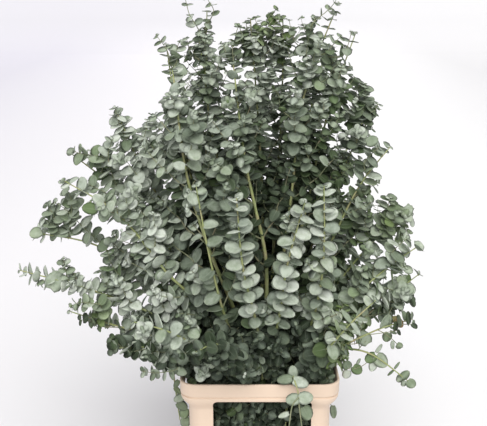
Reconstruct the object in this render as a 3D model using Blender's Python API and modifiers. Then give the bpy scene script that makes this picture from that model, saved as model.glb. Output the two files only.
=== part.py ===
"""Cut eucalyptus branches standing in a flower bucket with a windowed collar.

Metres, +Z up. The origin is the middle of the bucket's foot, on the surface it stands on.
The plain front of the holder, the narrow side, faces -Y.
"""

import math
import random

import bmesh
import bpy
import numpy as np
from mathutils import Matrix, Vector
from mathutils.bvhtree import BVHTree

# ---------------------------------------------------------------- driving dimensions
RIM_X, RIM_Y = 0.306, 0.406  # outside of the collar's rim
RIM_Z = 0.450  # top of the rim above the floor
RIM_BAND = 0.026  # height of the rim's upright band
POST_X, POST_Y = 0.275, 0.375  # outside of the collar's posts
COLLAR_FOOT_Z = 0.2006  # where the collar stands on the bucket
COLLAR_WALL = 0.0030
BUCKET_Z = 0.2000  # top of the bucket's lip
BUCKET_WALL = 0.0028
FOOT_X, FOOT_Y = 0.236, 0.336  # outside of the bucket's foot
CORNER_R = 0.030
GAP = 0.0004  # left between pieces that touch

MAIN_R = 0.0043  # a main stem's radius at its cut end
TWIG_R = 0.0016
LEAF_R = 0.0155  # a grown leaf's radius
LEAF_T = 0.0011  # thickness at the middle of a plain leaf pair
FOOT_Z = BUCKET_WALL + GAP  # where the cut ends stand, on the bucket's floor

# The front elevation the branches are set out on: a point (u, v) on it, with its depth y.
EYE = np.array([-0.0311, -1.5817, 1.1821])
PITCH = math.radians(16.0)
SPAN = 811.7


def spot(u, v, y):
    """The point of the elevation at (u, v), at depth y, in metres."""
    c, s = math.cos(PITCH), math.sin(PITCH)
    d = np.array([(u - 243.5) / SPAN, c + s * (213 - v) / SPAN, -s + c * (213 - v) / SPAN])
    return EYE + d * ((y - EYE[1]) / d[1])


# name, route on the elevation from low to tip as (u, v, y), leafy from this share of the
# length, twig length, leaf size
BRANCHES = [
    ("front_middle", [(263, 372, -0.175), (256, 322, -0.22), (243, 268, -0.26), (236, 194, -0.27)], 0.42, 0.055, 1.10),
    ("front_right_inner", [(270, 366, -0.17), (280, 312, -0.23), (288, 262, -0.27), (305, 202, -0.28)], 0.42, 0.060, 1.10),
    ("front_right_outer", [(300, 360, -0.16), (318, 300, -0.22), (324, 250, -0.25), (324, 184, -0.24)], 0.42, 0.070, 1.10),
    ("front_left_inner", [(238, 360, -0.16), (220, 300, -0.21), (206, 240, -0.23), (196, 186, -0.22)], 0.46, 0.080, 1.00),
    ("front_left_low", [(226, 366, -0.18), (196, 345, -0.25), (164, 330, -0.28), (134, 322, -0.28)], 0.45, 0.075, 1.10),
    ("front_right_low", [(306, 366, -0.18), (330, 346, -0.25), (352, 322, -0.27), (376, 300, -0.26)], 0.45, 0.075, 1.00),
    ("front_centre_low", [(252, 372, -0.18), (232, 352, -0.26), (214, 344, -0.30), (196, 352, -0.33)], 0.45, 0.060, 1.00),
    ("over_rim_sprig", [(292, 374, -0.180), (294, 379, -0.212), (298, 392, -0.226), (299, 408, -0.226)], 0.62, 0.030, 0.80),
    ("over_left_rim", [(204, 368, -0.10), (187, 355, -0.11), (175, 362, -0.12), (176, 392, -0.12), (180, 420, -0.12)], 0.60, 0.034, 0.85),
    ("stem_tall_left", [(238, 325, -0.12), (208, 246, -0.15), (187, 176, -0.15), (172, 66, -0.10)], 0.62, 0.110, 0.95),
    ("stem_tall_middle", [(266, 262, -0.12), (255, 207, -0.13), (245, 160, -0.13), (233, 62, -0.09)], 0.60, 0.100, 0.90),
    ("top_left", [(246, 300, -0.02), (226, 200, 0.0), (206, 90, 0.0), (207, 10, 0.02)], 0.58, 0.110, 0.85),
    ("top_middle", [(262, 290, 0.0), (262, 190, 0.02), (256, 90, 0.02), (250, 14, 0.0)], 0.58, 0.110, 0.85),
    ("top_right_inner", [(272, 290, 0.03), (276, 200, 0.06), (282, 100, 0.06), (283, 12, 0.05)], 0.58, 0.110, 0.85),
    ("top_right", [(280, 290, -0.04), (292, 190, -0.05), (304, 96, -0.04), (338, 3, -0.02)], 0.60, 0.110, 0.85),
    ("right_shoulder", [(286, 300, -0.03), (308, 200, -0.03), (330, 106, -0.02), (356, 32, 0.0)], 0.58, 0.110, 0.85),
    ("right_high", [(292, 310, 0.0), (322, 220, 0.02), (352, 150, 0.02), (378, 104, 0.02)], 0.55, 0.105, 0.95),
    ("right_upper", [(296, 320, -0.08), (332, 240, -0.10), (362, 182, -0.10), (391, 146, -0.08)], 0.52, 0.100, 0.95),
    ("right_reach", [(302, 336, -0.06), (348, 270, -0.07), (388, 228, -0.06), (419, 209, -0.05)], 0.48, 0.095, 1.05),
    ("right_middle", [(304, 346, -0.12), (350, 300, -0.15), (392, 264, -0.14), (423, 243, -0.12)], 0.46, 0.090, 1.05),
    ("right_low", [(304, 354, -0.04), (346, 328, -0.05), (388, 296, -0.05), (420, 272, -0.03)], 0.46, 0.090, 1.05),
    ("right_lowest", [(306, 362, -0.10), (346, 344, -0.16), (382, 328, -0.17), (413, 319, -0.16)], 0.46, 0.070, 1.00),
    ("right_hanging", [(303, 364, -0.06), (334, 350, -0.12), (366, 352, -0.15), (411, 383, -0.15)], 0.52, 0.045, 0.95),
    ("left_top_spray", [(240, 310, -0.06), (206, 228, -0.08), (180, 130, -0.08), (166, 44, -0.05)], 0.58, 0.105, 0.90),
    ("left_high", [(236, 318, 0.0), (190, 244, 0.0), (146, 176, -0.02), (115, 108, -0.03)], 0.55, 0.095, 0.95),
    ("left_upper", [(232, 326, -0.08), (176, 256, -0.08), (122, 194, -0.06), (68, 151, -0.04)], 0.52, 0.090, 0.95),
    ("left_reach", [(230, 334, -0.14), (170, 276, -0.16), (118, 214, -0.15), (63, 180, -0.13)], 0.50, 0.085, 0.95),
    ("left_middle", [(228, 342, -0.05), (162, 290, -0.07), (98, 246, -0.08), (32, 232, -0.08)], 0.48, 0.085, 0.95),
    ("left_lower_reach", [(226, 350, -0.11), (158, 316, -0.13), (92, 290, -0.12), (19, 270, -0.09)], 0.48, 0.080, 0.95),
    ("left_low", [(225, 356, -0.03), (166, 340, -0.08), (116, 324, -0.12), (66, 310, -0.13)], 0.48, 0.070, 0.95),
    ("left_lowest", [(224, 362, -0.10), (188, 354, -0.17), (150, 350, -0.20), (106, 346, -0.20)], 0.48, 0.050, 1.00),
    ("left_drooping", [(222, 368, -0.07), (196, 362, -0.12), (172, 366, -0.15), (144, 374, -0.16)], 0.55, 0.034, 0.90),
]

# The branches behind, whose routes are (x, y, z) in metres.
BACK_BRANCHES = [
    ("back_left_top", [(-0.04, 0.10, 0.56), (-0.08, 0.16, 0.75), (-0.11, 0.19, 0.95), (-0.13, 0.20, 1.08)], 0.50, 0.110, 0.95),
    ("back_right_top", [(0.04, 0.10, 0.56), (0.08, 0.16, 0.75), (0.12, 0.19, 0.93), (0.15, 0.20, 1.05)], 0.50, 0.110, 0.95),
    ("back_left", [(-0.06, 0.12, 0.53), (-0.15, 0.19, 0.68), (-0.23, 0.24, 0.82), (-0.29, 0.27, 0.92)], 0.45, 0.100, 1.00),
    ("back_right", [(0.05, 0.12, 0.53), (0.13, 0.19, 0.68), (0.20, 0.24, 0.80), (0.26, 0.27, 0.90)], 0.45, 0.100, 1.00),
    ("back_middle", [(0.0, 0.13, 0.54), (0.0, 0.22, 0.70), (0.01, 0.30, 0.84), (0.01, 0.35, 0.96)], 0.45, 0.105, 1.00),
    ("back_left_low", [(-0.06, 0.15, 0.53), (-0.14, 0.24, 0.60), (-0.23, 0.31, 0.66), (-0.31, 0.34, 0.70)], 0.42, 0.090, 1.00),
    ("back_right_low", [(0.05, 0.15, 0.53), (0.12, 0.25, 0.60), (0.19, 0.31, 0.65), (0.27, 0.35, 0.69)], 0.42, 0.090, 1.00),
    ("back_middle_low", [(0.0, 0.16, 0.53), (0.01, 0.27, 0.58), (0.02, 0.35, 0.61), (0.03, 0.42, 0.62)], 0.42, 0.085, 1.00),
    ("back_left_drooping", [(-0.05, 0.16, 0.51), (-0.09, 0.25, 0.55), (-0.13, 0.32, 0.54), (-0.16, 0.37, 0.49)], 0.50, 0.055, 0.95),
    ("back_right_drooping", [(0.05, 0.16, 0.51), (0.09, 0.25, 0.54), (0.14, 0.31, 0.53), (0.18, 0.35, 0.48)], 0.50, 0.055, 0.95),
    ("side_left", [(-0.08, 0.06, 0.52), (-0.18, 0.11, 0.60), (-0.29, 0.15, 0.66), (-0.38, 0.17, 0.71)], 0.44, 0.090, 1.00),
    ("side_right", [(0.07, 0.06, 0.52), (0.15, 0.11, 0.58), (0.23, 0.15, 0.63), (0.31, 0.17, 0.69)], 0.44, 0.090, 1.00),
]


# ---------------------------------------------------------------- branch plan
def branch_list():
    """Every branch as (name, route in metres, leafy, reach, size)."""
    front = [(name, [spot(*p) for p in way], *rest) for name, way, *rest in BRANCHES]
    back = [(name, [np.array(p) for p in way], *rest) for name, way, *rest in BACK_BRANCHES]
    return front + back


def unit(v):
    return v / max(np.linalg.norm(v), 1e-9)


def smooth(points, step):
    """Points every step along a centripetal Catmull-Rom curve through these."""
    p = [np.asarray(q, float) for q in points]
    p = [2 * p[0] - p[1]] + p + [2 * p[-1] - p[-2]]
    out = []
    for a, b, c, d in zip(p, p[1:], p[2:], p[3:]):
        t = [0.0]
        for q, r in ((a, b), (b, c), (c, d)):
            t.append(t[-1] + max(np.linalg.norm(r - q), 1e-6) ** 0.5)
        for k in range(24):
            s = t[1] + (t[2] - t[1]) * k / 24
            a1 = (t[1] - s) / (t[1] - t[0]) * a + (s - t[0]) / (t[1] - t[0]) * b
            a2 = (t[2] - s) / (t[2] - t[1]) * b + (s - t[1]) / (t[2] - t[1]) * c
            a3 = (t[3] - s) / (t[3] - t[2]) * c + (s - t[2]) / (t[3] - t[2]) * d
            b1 = (t[2] - s) / (t[2] - t[0]) * a1 + (s - t[0]) / (t[2] - t[0]) * a2
            b2 = (t[3] - s) / (t[3] - t[1]) * a2 + (s - t[1]) / (t[3] - t[1]) * a3
            out.append((t[2] - s) / (t[2] - t[1]) * b1 + (s - t[1]) / (t[2] - t[1]) * b2)
    out.append(p[-2])
    out = np.array(out)
    run = np.concatenate([[0], np.cumsum(np.linalg.norm(np.diff(out, axis=0), axis=1))])
    n = max(2, int(round(run[-1] / step)))
    at = np.linspace(0, run[-1], n + 1)
    return np.stack([np.interp(at, run, out[:, k]) for k in range(3)], axis=1)


def inside_clear(p, r):
    """Whether a ball of radius r at p stays off the bucket and the collar."""
    x, y, z = abs(p[0]), abs(p[1]), p[2]
    if z - r < 0.0032:
        return False
    if z > RIM_Z + r + 0.001:
        return True
    if z < 0.205:
        k = z / 0.205
        inner_x, inner_y = 0.113 + 0.010 * k, 0.163 + 0.010 * k
    else:
        inner_x, inner_y = POST_X / 2 - 0.006, POST_Y / 2 - 0.006
    if x + r < inner_x and y + r < inner_y:
        return not (x + r > inner_x - 0.02 and y + r > inner_y - 0.02)
    return x - r > RIM_X / 2 + 0.002 or y - r > RIM_Y / 2 + 0.002


def spread(points, least, half_x, half_y):
    """Moves points apart in a rectangle until no two are nearer than least, as far as it goes."""
    pts = np.array(points, float)
    for _ in range(400):
        push = np.zeros_like(pts)
        d = pts[:, None, :] - pts[None, :, :]
        dist = np.linalg.norm(d, axis=2) + 1e-9
        near = (dist < least) & (dist > 1e-8)
        push += np.where(near[..., None], d / dist[..., None] * (least - dist)[..., None] * 0.5, 0).sum(axis=1)
        pts += push
        pts[:, 0] = np.clip(pts[:, 0], -half_x, half_x)
        pts[:, 1] = np.clip(pts[:, 1], -half_y, half_y)
    return pts


def stem_radius(s, length):
    """A main stem's radius at the share s of its length."""
    foot = MAIN_R * min(1.0, 0.55 + 0.5 * length)
    return foot * (1 - s) ** 0.8 + 0.0009


def routes():
    """Each main stem's points, from its cut end on the bucket's floor to its tip."""
    wish = []
    for _, way, *_ in branch_list():
        first, tip = way[0], way[-1]
        pull = 0.72 * first[:2] + 0.10 * tip[:2]
        wish.append([pull[0] + 1e-3 * len(wish) % 0.007, pull[1] + 0.8e-3 * len(wish) % 0.005])
    mouths = spread(wish, 0.0285, 0.100, 0.148)
    feet = spread(mouths * 0.62, 0.0165, 0.066, 0.104)
    kept = []
    for i, (name, body, *_) in enumerate(branch_list()):
        rng = random.Random(1000 + i)
        foot = np.array([feet[i][0], feet[i][1], FOOT_Z])
        mouth = np.array([mouths[i][0], mouths[i][1], 0.405])
        best = None
        for trial in range(160):
            size = 0.0 if trial == 0 else 0.004 + 0.00022 * trial
            move = [np.array([rng.uniform(-1, 1), rng.uniform(-1, 1), rng.uniform(-0.5, 0.5)]) * size for _ in body]
            move[-1] = move[-1] * 0.5
            shift = np.array([rng.uniform(-1, 1), rng.uniform(-1, 1), 0]) * min(size, 0.012)
            line = smooth([foot + shift * 0.4, mouth + shift] + [p + m for p, m in zip(body, move)], 0.008)
            run = len(line) - 1
            length = 0.008 * run
            radii = np.array([stem_radius(k / run, length) for k in range(run + 1)])
            line[0, 2] = FOOT_Z
            low = [inside_clear(p, r + 0.0006) or p[2] < 0.02 for p, r in zip(line, radii)]
            gap = 1.0
            for other, thick in kept:
                d = np.sqrt(((line[:, None, :] - other[None, :, :]) ** 2).sum(axis=2))
                gap = min(gap, (d - radii[:, None] - thick[None, :]).min())
            worth = (sum(low) - len(low), min(gap, 0.0042))
            if best is None or worth > best[0]:
                best = (worth, line, radii)
            if all(low) and gap > 0.0040:
                break
        kept.append((best[1], best[2]))
        if best[0][0] < 0 or best[0][1] < 0.0035:
            print("route", name, best[0])
    return kept


def frame_at(line, k):
    """The direction along the line at point k."""
    return unit(line[min(k + 1, len(line) - 1)] - line[max(k - 1, 0)])


def across(direction, turn, up=(0.0, 0.0, 1.0)):
    """A unit vector square to the direction, turned about it by turn."""
    a = np.cross(direction, np.asarray(up) if abs(direction[2]) < 0.96 else np.array([1.0, 0, 0]))
    a = unit(a)
    b = np.cross(direction, a)
    return a * math.cos(turn) + b * math.sin(turn)


def twig_line(start, along, side, length, rng, lift):
    """A twig that leaves the stem sideways and then bends along it and up."""
    points = [start]
    heading = unit(along * 0.75 + side * 0.85)
    steps = max(3, int(length / 0.012))
    drift = np.array([rng.uniform(-1, 1), rng.uniform(-1, 1), rng.uniform(-1, 1)]) * 0.10
    for k in range(steps):
        aim = unit(along * 0.55 + np.array([0, 0, lift]) + side * 0.35 + drift)
        heading = unit(heading * 0.86 + aim * 0.14)
        points.append(points[-1] + heading * (length / steps))
    return np.array(points)


def plan():
    """For each branch: its main line and radii, and its twigs as (line, root radius, turn, place on the main line)."""
    done = []
    for i, ((name, _, leafy, reach, size), (line, radii)) in enumerate(zip(branch_list(), routes())):
        rng = random.Random(2000 + i)
        n = len(line) - 1
        k = int(n * leafy)
        turn = rng.uniform(0, math.pi)
        twigs = []
        while k < n - 6:
            share = (k - n * leafy) / (n * (1 - leafy))
            along = frame_at(line, k)
            for half in (0, 1):
                if rng.random() < 0.22:
                    continue
                side = across(along, turn + half * math.pi + rng.uniform(-0.3, 0.3))
                length = reach * (1.45 - 1.0 * share) * rng.uniform(0.7, 1.25)
                twig = twig_line(line[k], along, side, length, rng, 0.30)
                twigs.append((twig, min(TWIG_R, radii[k] * 0.6), rng.uniform(0, math.pi), k))
            turn += math.pi / 2 + rng.uniform(-0.3, 0.3)
            k += max(3, int((0.030 + 0.020 * rng.random()) / 0.008))
        done.append({"name": name, "line": line, "radii": radii, "twigs": twigs, "leafy": leafy, "size": size})
    return done


# ---------------------------------------------------------------- modelling helpers
for old in list(bpy.data.objects):
    bpy.data.objects.remove(old, do_unlink=True)

scene = bpy.context.scene
parts = bpy.data.collections.new("eucalyptus_branches_in_bucket")
cutters = bpy.data.collections.new("cutters")
scene.collection.children.link(parts)
scene.collection.children.link(cutters)
cutters.hide_render = True


def material(name, colour, roughness):
    mat = bpy.data.materials.new(name)
    mat.use_nodes = True
    shader = mat.node_tree.nodes["Principled BSDF"]
    shader.inputs["Base Color"].default_value = (*colour, 1)
    shader.inputs["Roughness"].default_value = roughness
    shader.inputs["Metallic"].default_value = 0.0
    return mat


CREAM = material("cream_plastic", (0.80, 0.70, 0.58), 0.45)
PLASTIC = material("bucket_plastic", (0.76, 0.66, 0.54), 0.50)


def from_bmesh(bm, name, where, mat=None):
    mesh = bpy.data.meshes.new(name)
    bm.to_mesh(mesh)
    bm.free()
    obj = bpy.data.objects.new(name, mesh)
    where.objects.link(obj)
    if mat:
        mesh.materials.append(mat)
    return obj


def helper(obj):
    obj.hide_render = True
    obj.display_type = "WIRE"
    return obj


def evaluated_mesh(obj):
    bpy.context.view_layer.update()
    graph = bpy.context.evaluated_depsgraph_get()
    return bpy.data.meshes.new_from_object(obj.evaluated_get(graph))


# ---------------------------------------------------------------- bucket and collar
def round_box(bm, x, y, low, high, corner, segments=3):
    """A box with its four upright edges rounded."""
    bmesh.ops.create_cube(bm, size=1.0)
    bmesh.ops.scale(bm, vec=(x, y, high - low), verts=bm.verts)
    bmesh.ops.translate(bm, vec=(0, 0, (low + high) / 2), verts=bm.verts)
    upright = [e for e in bm.edges if abs(e.verts[0].co.z - e.verts[1].co.z) > (high - low) / 2]
    bmesh.ops.bevel(bm, geom=upright, offset=corner, segments=segments, affect="EDGES", profile=0.5)


def tub_wall(name, levels, floor, thickness, mat):
    """A rounded rectangular wall drawn up through levels of (z, width, depth), made thick inwards."""
    bm = bmesh.new()
    z0, x0, y0 = levels[0]
    round_box(bm, x0, y0, z0, z0 + 0.01, CORNER_R)
    top = [f for f in bm.faces if f.normal.z > 0.9]
    bottom = [f for f in bm.faces if f.normal.z < -0.9]
    walls = [f for f in bm.faces if abs(f.normal.z) <= 0.9]
    bmesh.ops.delete(bm, geom=top + walls, context="FACES")
    ring = [e for e in bm.edges if e.is_boundary and all(abs(v.co.z - z0) < 1e-6 for v in e.verts)]
    if not floor:
        bmesh.ops.delete(bm, geom=bottom, context="FACES_ONLY")
    loose = [v for v in bm.verts if not v.link_edges or abs(v.co.z - z0) > 1e-6]
    bmesh.ops.delete(bm, geom=loose, context="VERTS")
    ring = [e for e in bm.edges if all(abs(v.co.z - z0) < 1e-6 for v in e.verts)]
    for z, x, y in levels[1:]:
        made = bmesh.ops.extrude_edge_only(bm, edges=ring)["geom"]
        verts = [g for g in made if isinstance(g, bmesh.types.BMVert)]
        ring = [g for g in made if isinstance(g, bmesh.types.BMEdge)]
        for v in verts:
            v.co.x += (x - x0) / 2 * math.copysign(1, v.co.x)
            v.co.y += (y - y0) / 2 * math.copysign(1, v.co.y)
            v.co.z = z
        ring = [e for e in ring if all(abs(v.co.z - z) < 1e-6 for v in e.verts)]
        x0, y0 = x, y
    bmesh.ops.recalc_face_normals(bm, faces=bm.faces)
    # an open wall has no inside of its own: its faces are turned to point away from the middle
    side = next(f for f in bm.faces if abs(f.normal.z) < 0.9)
    middle = side.calc_center_median()
    if side.normal.x * middle.x + side.normal.y * middle.y < 0:
        bmesh.ops.reverse_faces(bm, faces=bm.faces)
    obj = from_bmesh(bm, name, parts, mat)
    solid = obj.modifiers.new("wall", "SOLIDIFY")
    solid.thickness = thickness
    solid.offset = -1.0
    solid.use_even_offset = True
    return obj


bucket = tub_wall(
    "bucket",
    [
        (0.0, FOOT_X, FOOT_Y),
        (0.180, FOOT_X + 0.030, FOOT_Y + 0.030),
        (0.184, FOOT_X + 0.050, FOOT_Y + 0.050),
        (BUCKET_Z, FOOT_X + 0.050, FOOT_Y + 0.050),
    ],
    True,
    BUCKET_WALL,
    PLASTIC,
)

collar = tub_wall(
    "collar",
    [
        (COLLAR_FOOT_Z, POST_X + 0.013, POST_Y + 0.013),
        (0.228, POST_X + 0.013, POST_Y + 0.013),
        (0.234, POST_X - 0.002, POST_Y - 0.002),
        (0.390, POST_X, POST_Y),
        (0.400, RIM_X - 0.020, RIM_Y - 0.020),
        (0.412, RIM_X - 0.0044, RIM_Y - 0.0044),
        (RIM_Z - RIM_BAND, RIM_X, RIM_Y),
        (RIM_Z, RIM_X, RIM_Y),
    ],
    False,
    COLLAR_WALL,
    CREAM,
)


def window(name, centre, size, corner, axis):
    """A cutter whose edges along the axis it cuts through are rounded."""
    bm = bmesh.new()
    bmesh.ops.create_cube(bm, size=1.0)
    bmesh.ops.scale(bm, vec=size, verts=bm.verts)
    edges = [e for e in bm.edges if abs((e.verts[0].co - e.verts[1].co)[axis]) > size[axis] / 2]
    bmesh.ops.bevel(bm, geom=edges, offset=corner, segments=2, affect="EDGES", profile=0.5)
    bmesh.ops.translate(bm, vec=centre, verts=bm.verts)
    obj = helper(from_bmesh(bm, name, cutters))
    cut = collar.modifiers.new(name, "BOOLEAN")
    cut.operation = "DIFFERENCE"
    cut.solver = "EXACT"
    cut.object = obj
    return obj


WINDOW_LOW, WINDOW_HIGH = 0.250, 0.413
WINDOW_MID, WINDOW_TALL = (WINDOW_LOW + WINDOW_HIGH) / 2, WINDOW_HIGH - WINDOW_LOW
WINDOW_CORNER = 0.002
window("window_front", (0.005, -POST_Y / 2, WINDOW_MID), (0.189, 0.060, WINDOW_TALL), WINDOW_CORNER, 1)
window("window_back", (0, POST_Y / 2, WINDOW_MID), (0.189, 0.060, WINDOW_TALL), WINDOW_CORNER, 1)
window("window_left", (-POST_X / 2, 0, WINDOW_MID), (0.060, 0.270, WINDOW_TALL), WINDOW_CORNER, 0)
window("window_right", (POST_X / 2, 0, WINDOW_MID), (0.060, 0.270, WINDOW_TALL), WINDOW_CORNER, 0)


def share_of(shape, name, low, high):
    """The share of the collar's shape that lies between two corners, as an object of its own."""
    bm = bmesh.new()
    bmesh.ops.create_cube(bm, size=1.0)
    bmesh.ops.scale(bm, vec=[b - a for a, b in zip(low, high)], verts=bm.verts)
    bmesh.ops.translate(bm, vec=[(a + b) / 2 for a, b in zip(low, high)], verts=bm.verts)
    block = helper(from_bmesh(bm, "block_" + name, cutters))
    obj = bpy.data.objects.new(name, shape.copy())
    parts.objects.link(obj)
    cut = obj.modifiers.new("share", "BOOLEAN")
    cut.operation = "INTERSECT"
    cut.solver = "EXACT"
    cut.object = block
    return obj


# ---------------------------------------------------------------- branches
# A stem is lofted along its line through four-sided rings. At a leaf pair the loft opens out
# into the two leaves, which clasp the stem, and closes onto the stem again above them.
OUTLINE = [(2.0, 0.0), (1.15, 0.92), (0.0, 0.45), (-1.15, 0.92), (-2.0, 0.0), (-1.15, -0.92), (0.0, -0.45), (1.15, -0.92)]


def carried(points):
    """A pair of cross axes at each point, carried along the line without twist."""
    a = None
    out = []
    for k in range(len(points)):
        t = frame_at(points, k)
        if points[k][2] < 0.006:
            t = np.array([0.0, 0.0, 1.0])  # the cut end stands flat on the bucket's floor
        if a is None:
            a = across(t, 0.0)
        a = unit(a - t * np.dot(a, t))
        out.append((t, a, np.cross(t, a)))
    return out


def ring_at(c, axes, r, turn):
    t, a, b = axes
    return [c + r * (a * math.cos(turn + q) + b * math.sin(turn + q)) for q in (np.pi / 4 + np.pi / 2 * np.arange(4))]


def pair_at(c, axes, r, turn, radius):
    """The ring below a leaf pair, the outline of its two leaves and the ring above it."""
    t, a, b = axes
    x = a * math.cos(turn) + b * math.sin(turn)
    y = np.cross(t, x)
    rim = [c + radius * (u * x + v * y + 0.13 * abs(u) * t) for u, v in OUTLINE]
    half = LEAF_T * 0.7
    return ring_at(c - t * half, axes, r, turn), rim, ring_at(c + t * half, axes, r, turn)


def skirt(ring, rim, flip):
    """The faces between a four-sided ring and the eight points of a leaf pair's outline."""
    faces = []
    for j in range(4):
        o = [rim[(2 * j + k) % 8] for k in range(3)]
        faces += [(ring[j], o[0], o[1]), (ring[j], o[1], o[2]), (ring[j], o[2], ring[(j + 1) % 4])]
    return [f[::-1] for f in faces] if flip else faces


def pair_mesh(c, axes, r, turn, radius):
    low, rim, high = pair_at(c, axes, r, turn, radius)
    bm = bmesh.new()
    low, rim, high = ([bm.verts.new(p) for p in group] for group in (low, rim, high))
    for face in skirt(low, rim, True) + skirt(high, rim, False) + [tuple(low[::-1]), tuple(high)]:
        bm.faces.new(face)
    bmesh.ops.recalc_face_normals(bm, faces=bm.faces)
    return bm


def stem_loft(points, radii, pairs):
    """A stem with its leaf pairs, pairs being {place: (turn, leaf radius)}."""
    bm = bmesh.new()
    axes = carried(points)
    before, turn = None, 0.0
    for k, (c, r) in enumerate(zip(points, radii)):
        if k in pairs:
            turn = pairs[k][0]
            low, rim, high = pair_at(c, axes[k], r, turn, pairs[k][1])
            low, rim, high = ([bm.verts.new(p) for p in group] for group in (low, rim, high))
            for face in skirt(low, rim, True) + skirt(high, rim, False):
                bm.faces.new(face)
            first, last = low, high
        else:
            first = last = [bm.verts.new(p) for p in ring_at(c, axes[k], r, turn)]
        if before is None:
            bm.faces.new(first[::-1])
        else:
            # the next ring is joined corner to corner, starting from the nearest one
            shift = min(range(4), key=lambda q: sum((before[j].co - first[(j + q) % 4].co).length for j in range(4)))
            for j in range(4):
                m, n = (j + shift) % 4, (j + 1 + shift) % 4
                bm.faces.new((before[j], before[(j + 1) % 4], first[n], first[m]))
        before = last
    bm.faces.new(before)
    bmesh.ops.recalc_face_normals(bm, faces=bm.faces)
    bmesh.ops.triangulate(bm, faces=bm.faces)
    return bm


def tree_of(bm, grow=0.0):
    verts = [v.co + v.normal * grow for v in bm.verts] if grow else [v.co.copy() for v in bm.verts]
    faces = [[v.index for v in f.verts] for f in bm.faces]
    lo = np.min([tuple(v) for v in verts], axis=0)
    hi = np.max([tuple(v) for v in verts], axis=0)
    return BVHTree.FromPolygons(verts, faces), lo, hi


class Taken:
    """The space that pieces already hold, to keep the next one clear of it."""

    def __init__(self):
        self.trees, self.lows, self.highs, self.owner = [], [], [], []

    def add(self, bm, owner):
        bm.normal_update()
        bm.verts.index_update()
        tree, lo, hi = tree_of(bm)
        self.trees.append(tree)
        self.lows.append(lo)
        self.highs.append(hi)
        self.owner.append(owner)

    def hit(self, bm, owner, grow):
        bm.normal_update()
        bm.verts.index_update()
        tree, lo, hi = tree_of(bm, grow)
        if not self.trees:
            return False
        lows, highs = np.array(self.lows), np.array(self.highs)
        near = np.where(((lows <= hi) & (highs >= lo)).all(axis=1))[0]
        return any(self.owner[k] != owner and tree.overlap(self.trees[k]) for k in near)


def thin(line, off, longest, places=()):
    """Fewer places along a line: both ends, the given ones, and more wherever a straight run
    between two would be longer than the longest, in steps, or lie further than off from it."""
    kept = sorted({0, len(line) - 1} | set(places))
    k = 0
    while k < len(kept) - 1:
        a, b = kept[k], kept[k + 1]
        if b - a > 1:
            t = np.linspace(0, 1, b - a + 1)[:, None]
            away = np.linalg.norm(line[a] * (1 - t) + line[b] * t - line[a : b + 1], axis=1)
            if away.max() > off or b - a > longest:
                kept.insert(k + 1, (a + b) // 2)
                continue
        k += 1
    return kept


def clear_places(line, radii, kept):
    """The kept places, with more where a straight run between two would touch the holder."""
    kept = list(kept)
    k = 0
    while k < len(kept) - 1:
        a, b = kept[k], kept[k + 1]
        chord = [line[a] + (line[b] - line[a]) * t for t in np.linspace(0, 1, 9)]
        if b - a > 1 and not all(inside_clear(p, radii[a] + 0.0006) or p[2] < 0.02 for p in chord):
            kept.insert(k + 1, (a + b) // 2)
        else:
            k += 1
    return kept


taken = Taken()
# Space that stays free, as lowest and highest corners: beside the stems in the bucket, and
# the four windows of the collar.
KEPT_FREE = [
    ((-0.1150, -0.134, 0.010), (-0.0880, 0.134, 0.170)),
    ((0.0880, -0.134, 0.010), (0.1150, 0.134, 0.170)),
    ((-0.0850, -0.1650, 0.010), (0.0850, -0.1310, 0.170)),
    ((-0.0850, 0.1310, 0.010), (0.0850, 0.1650, 0.170)),
    ((-0.0875, -0.1980, 0.252), (0.0975, -0.1660, 0.411)),
    ((-0.0925, 0.1660, 0.252), (0.0925, 0.1980, 0.411)),
    ((-0.1480, -0.1330, 0.252), (-0.1160, 0.1330, 0.411)),
    ((0.1160, -0.1330, 0.252), (0.1480, 0.1330, 0.411)),
]


def off_the_holder(bm, margin):
    """Whether every corner is clear of the holder and of the space that stays free."""
    for v in bm.verts:
        if not inside_clear(np.array(v.co), margin):
            return False
        for low, high in KEPT_FREE:
            if all(low[k] - 0.001 < v.co[k] < high[k] + 0.001 for k in range(3)):
                return False
    return True


def leaf_places(n, leafy, share):
    """Places of the plain leaf pairs on a main line of n steps, tip first."""
    low = int(n * leafy)
    return sorted({max(low, min(n - 1, int(n - 1 - (n - low) * t))) for t in share}, reverse=True)


for low, high in KEPT_FREE:
    bm = bmesh.new()
    bmesh.ops.create_cube(bm, size=1.0)
    bmesh.ops.scale(bm, vec=[b - a for a, b in zip(low, high)], verts=bm.verts)
    bmesh.ops.translate(bm, vec=[(a + b) / 2 for a, b in zip(low, high)], verts=bm.verts)
    bmesh.ops.triangulate(bm, faces=bm.faces)
    taken.add(bm, "kept_free")
    bm.free()
shells = {holder.name: evaluated_mesh(holder) for holder in (bucket, collar)}
for holder_name, shell in shells.items():
    bm = bmesh.new()
    bm.from_mesh(shell)
    bmesh.ops.triangulate(bm, faces=bm.faces)
    taken.add(bm, holder_name)
    bm.free()

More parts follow.
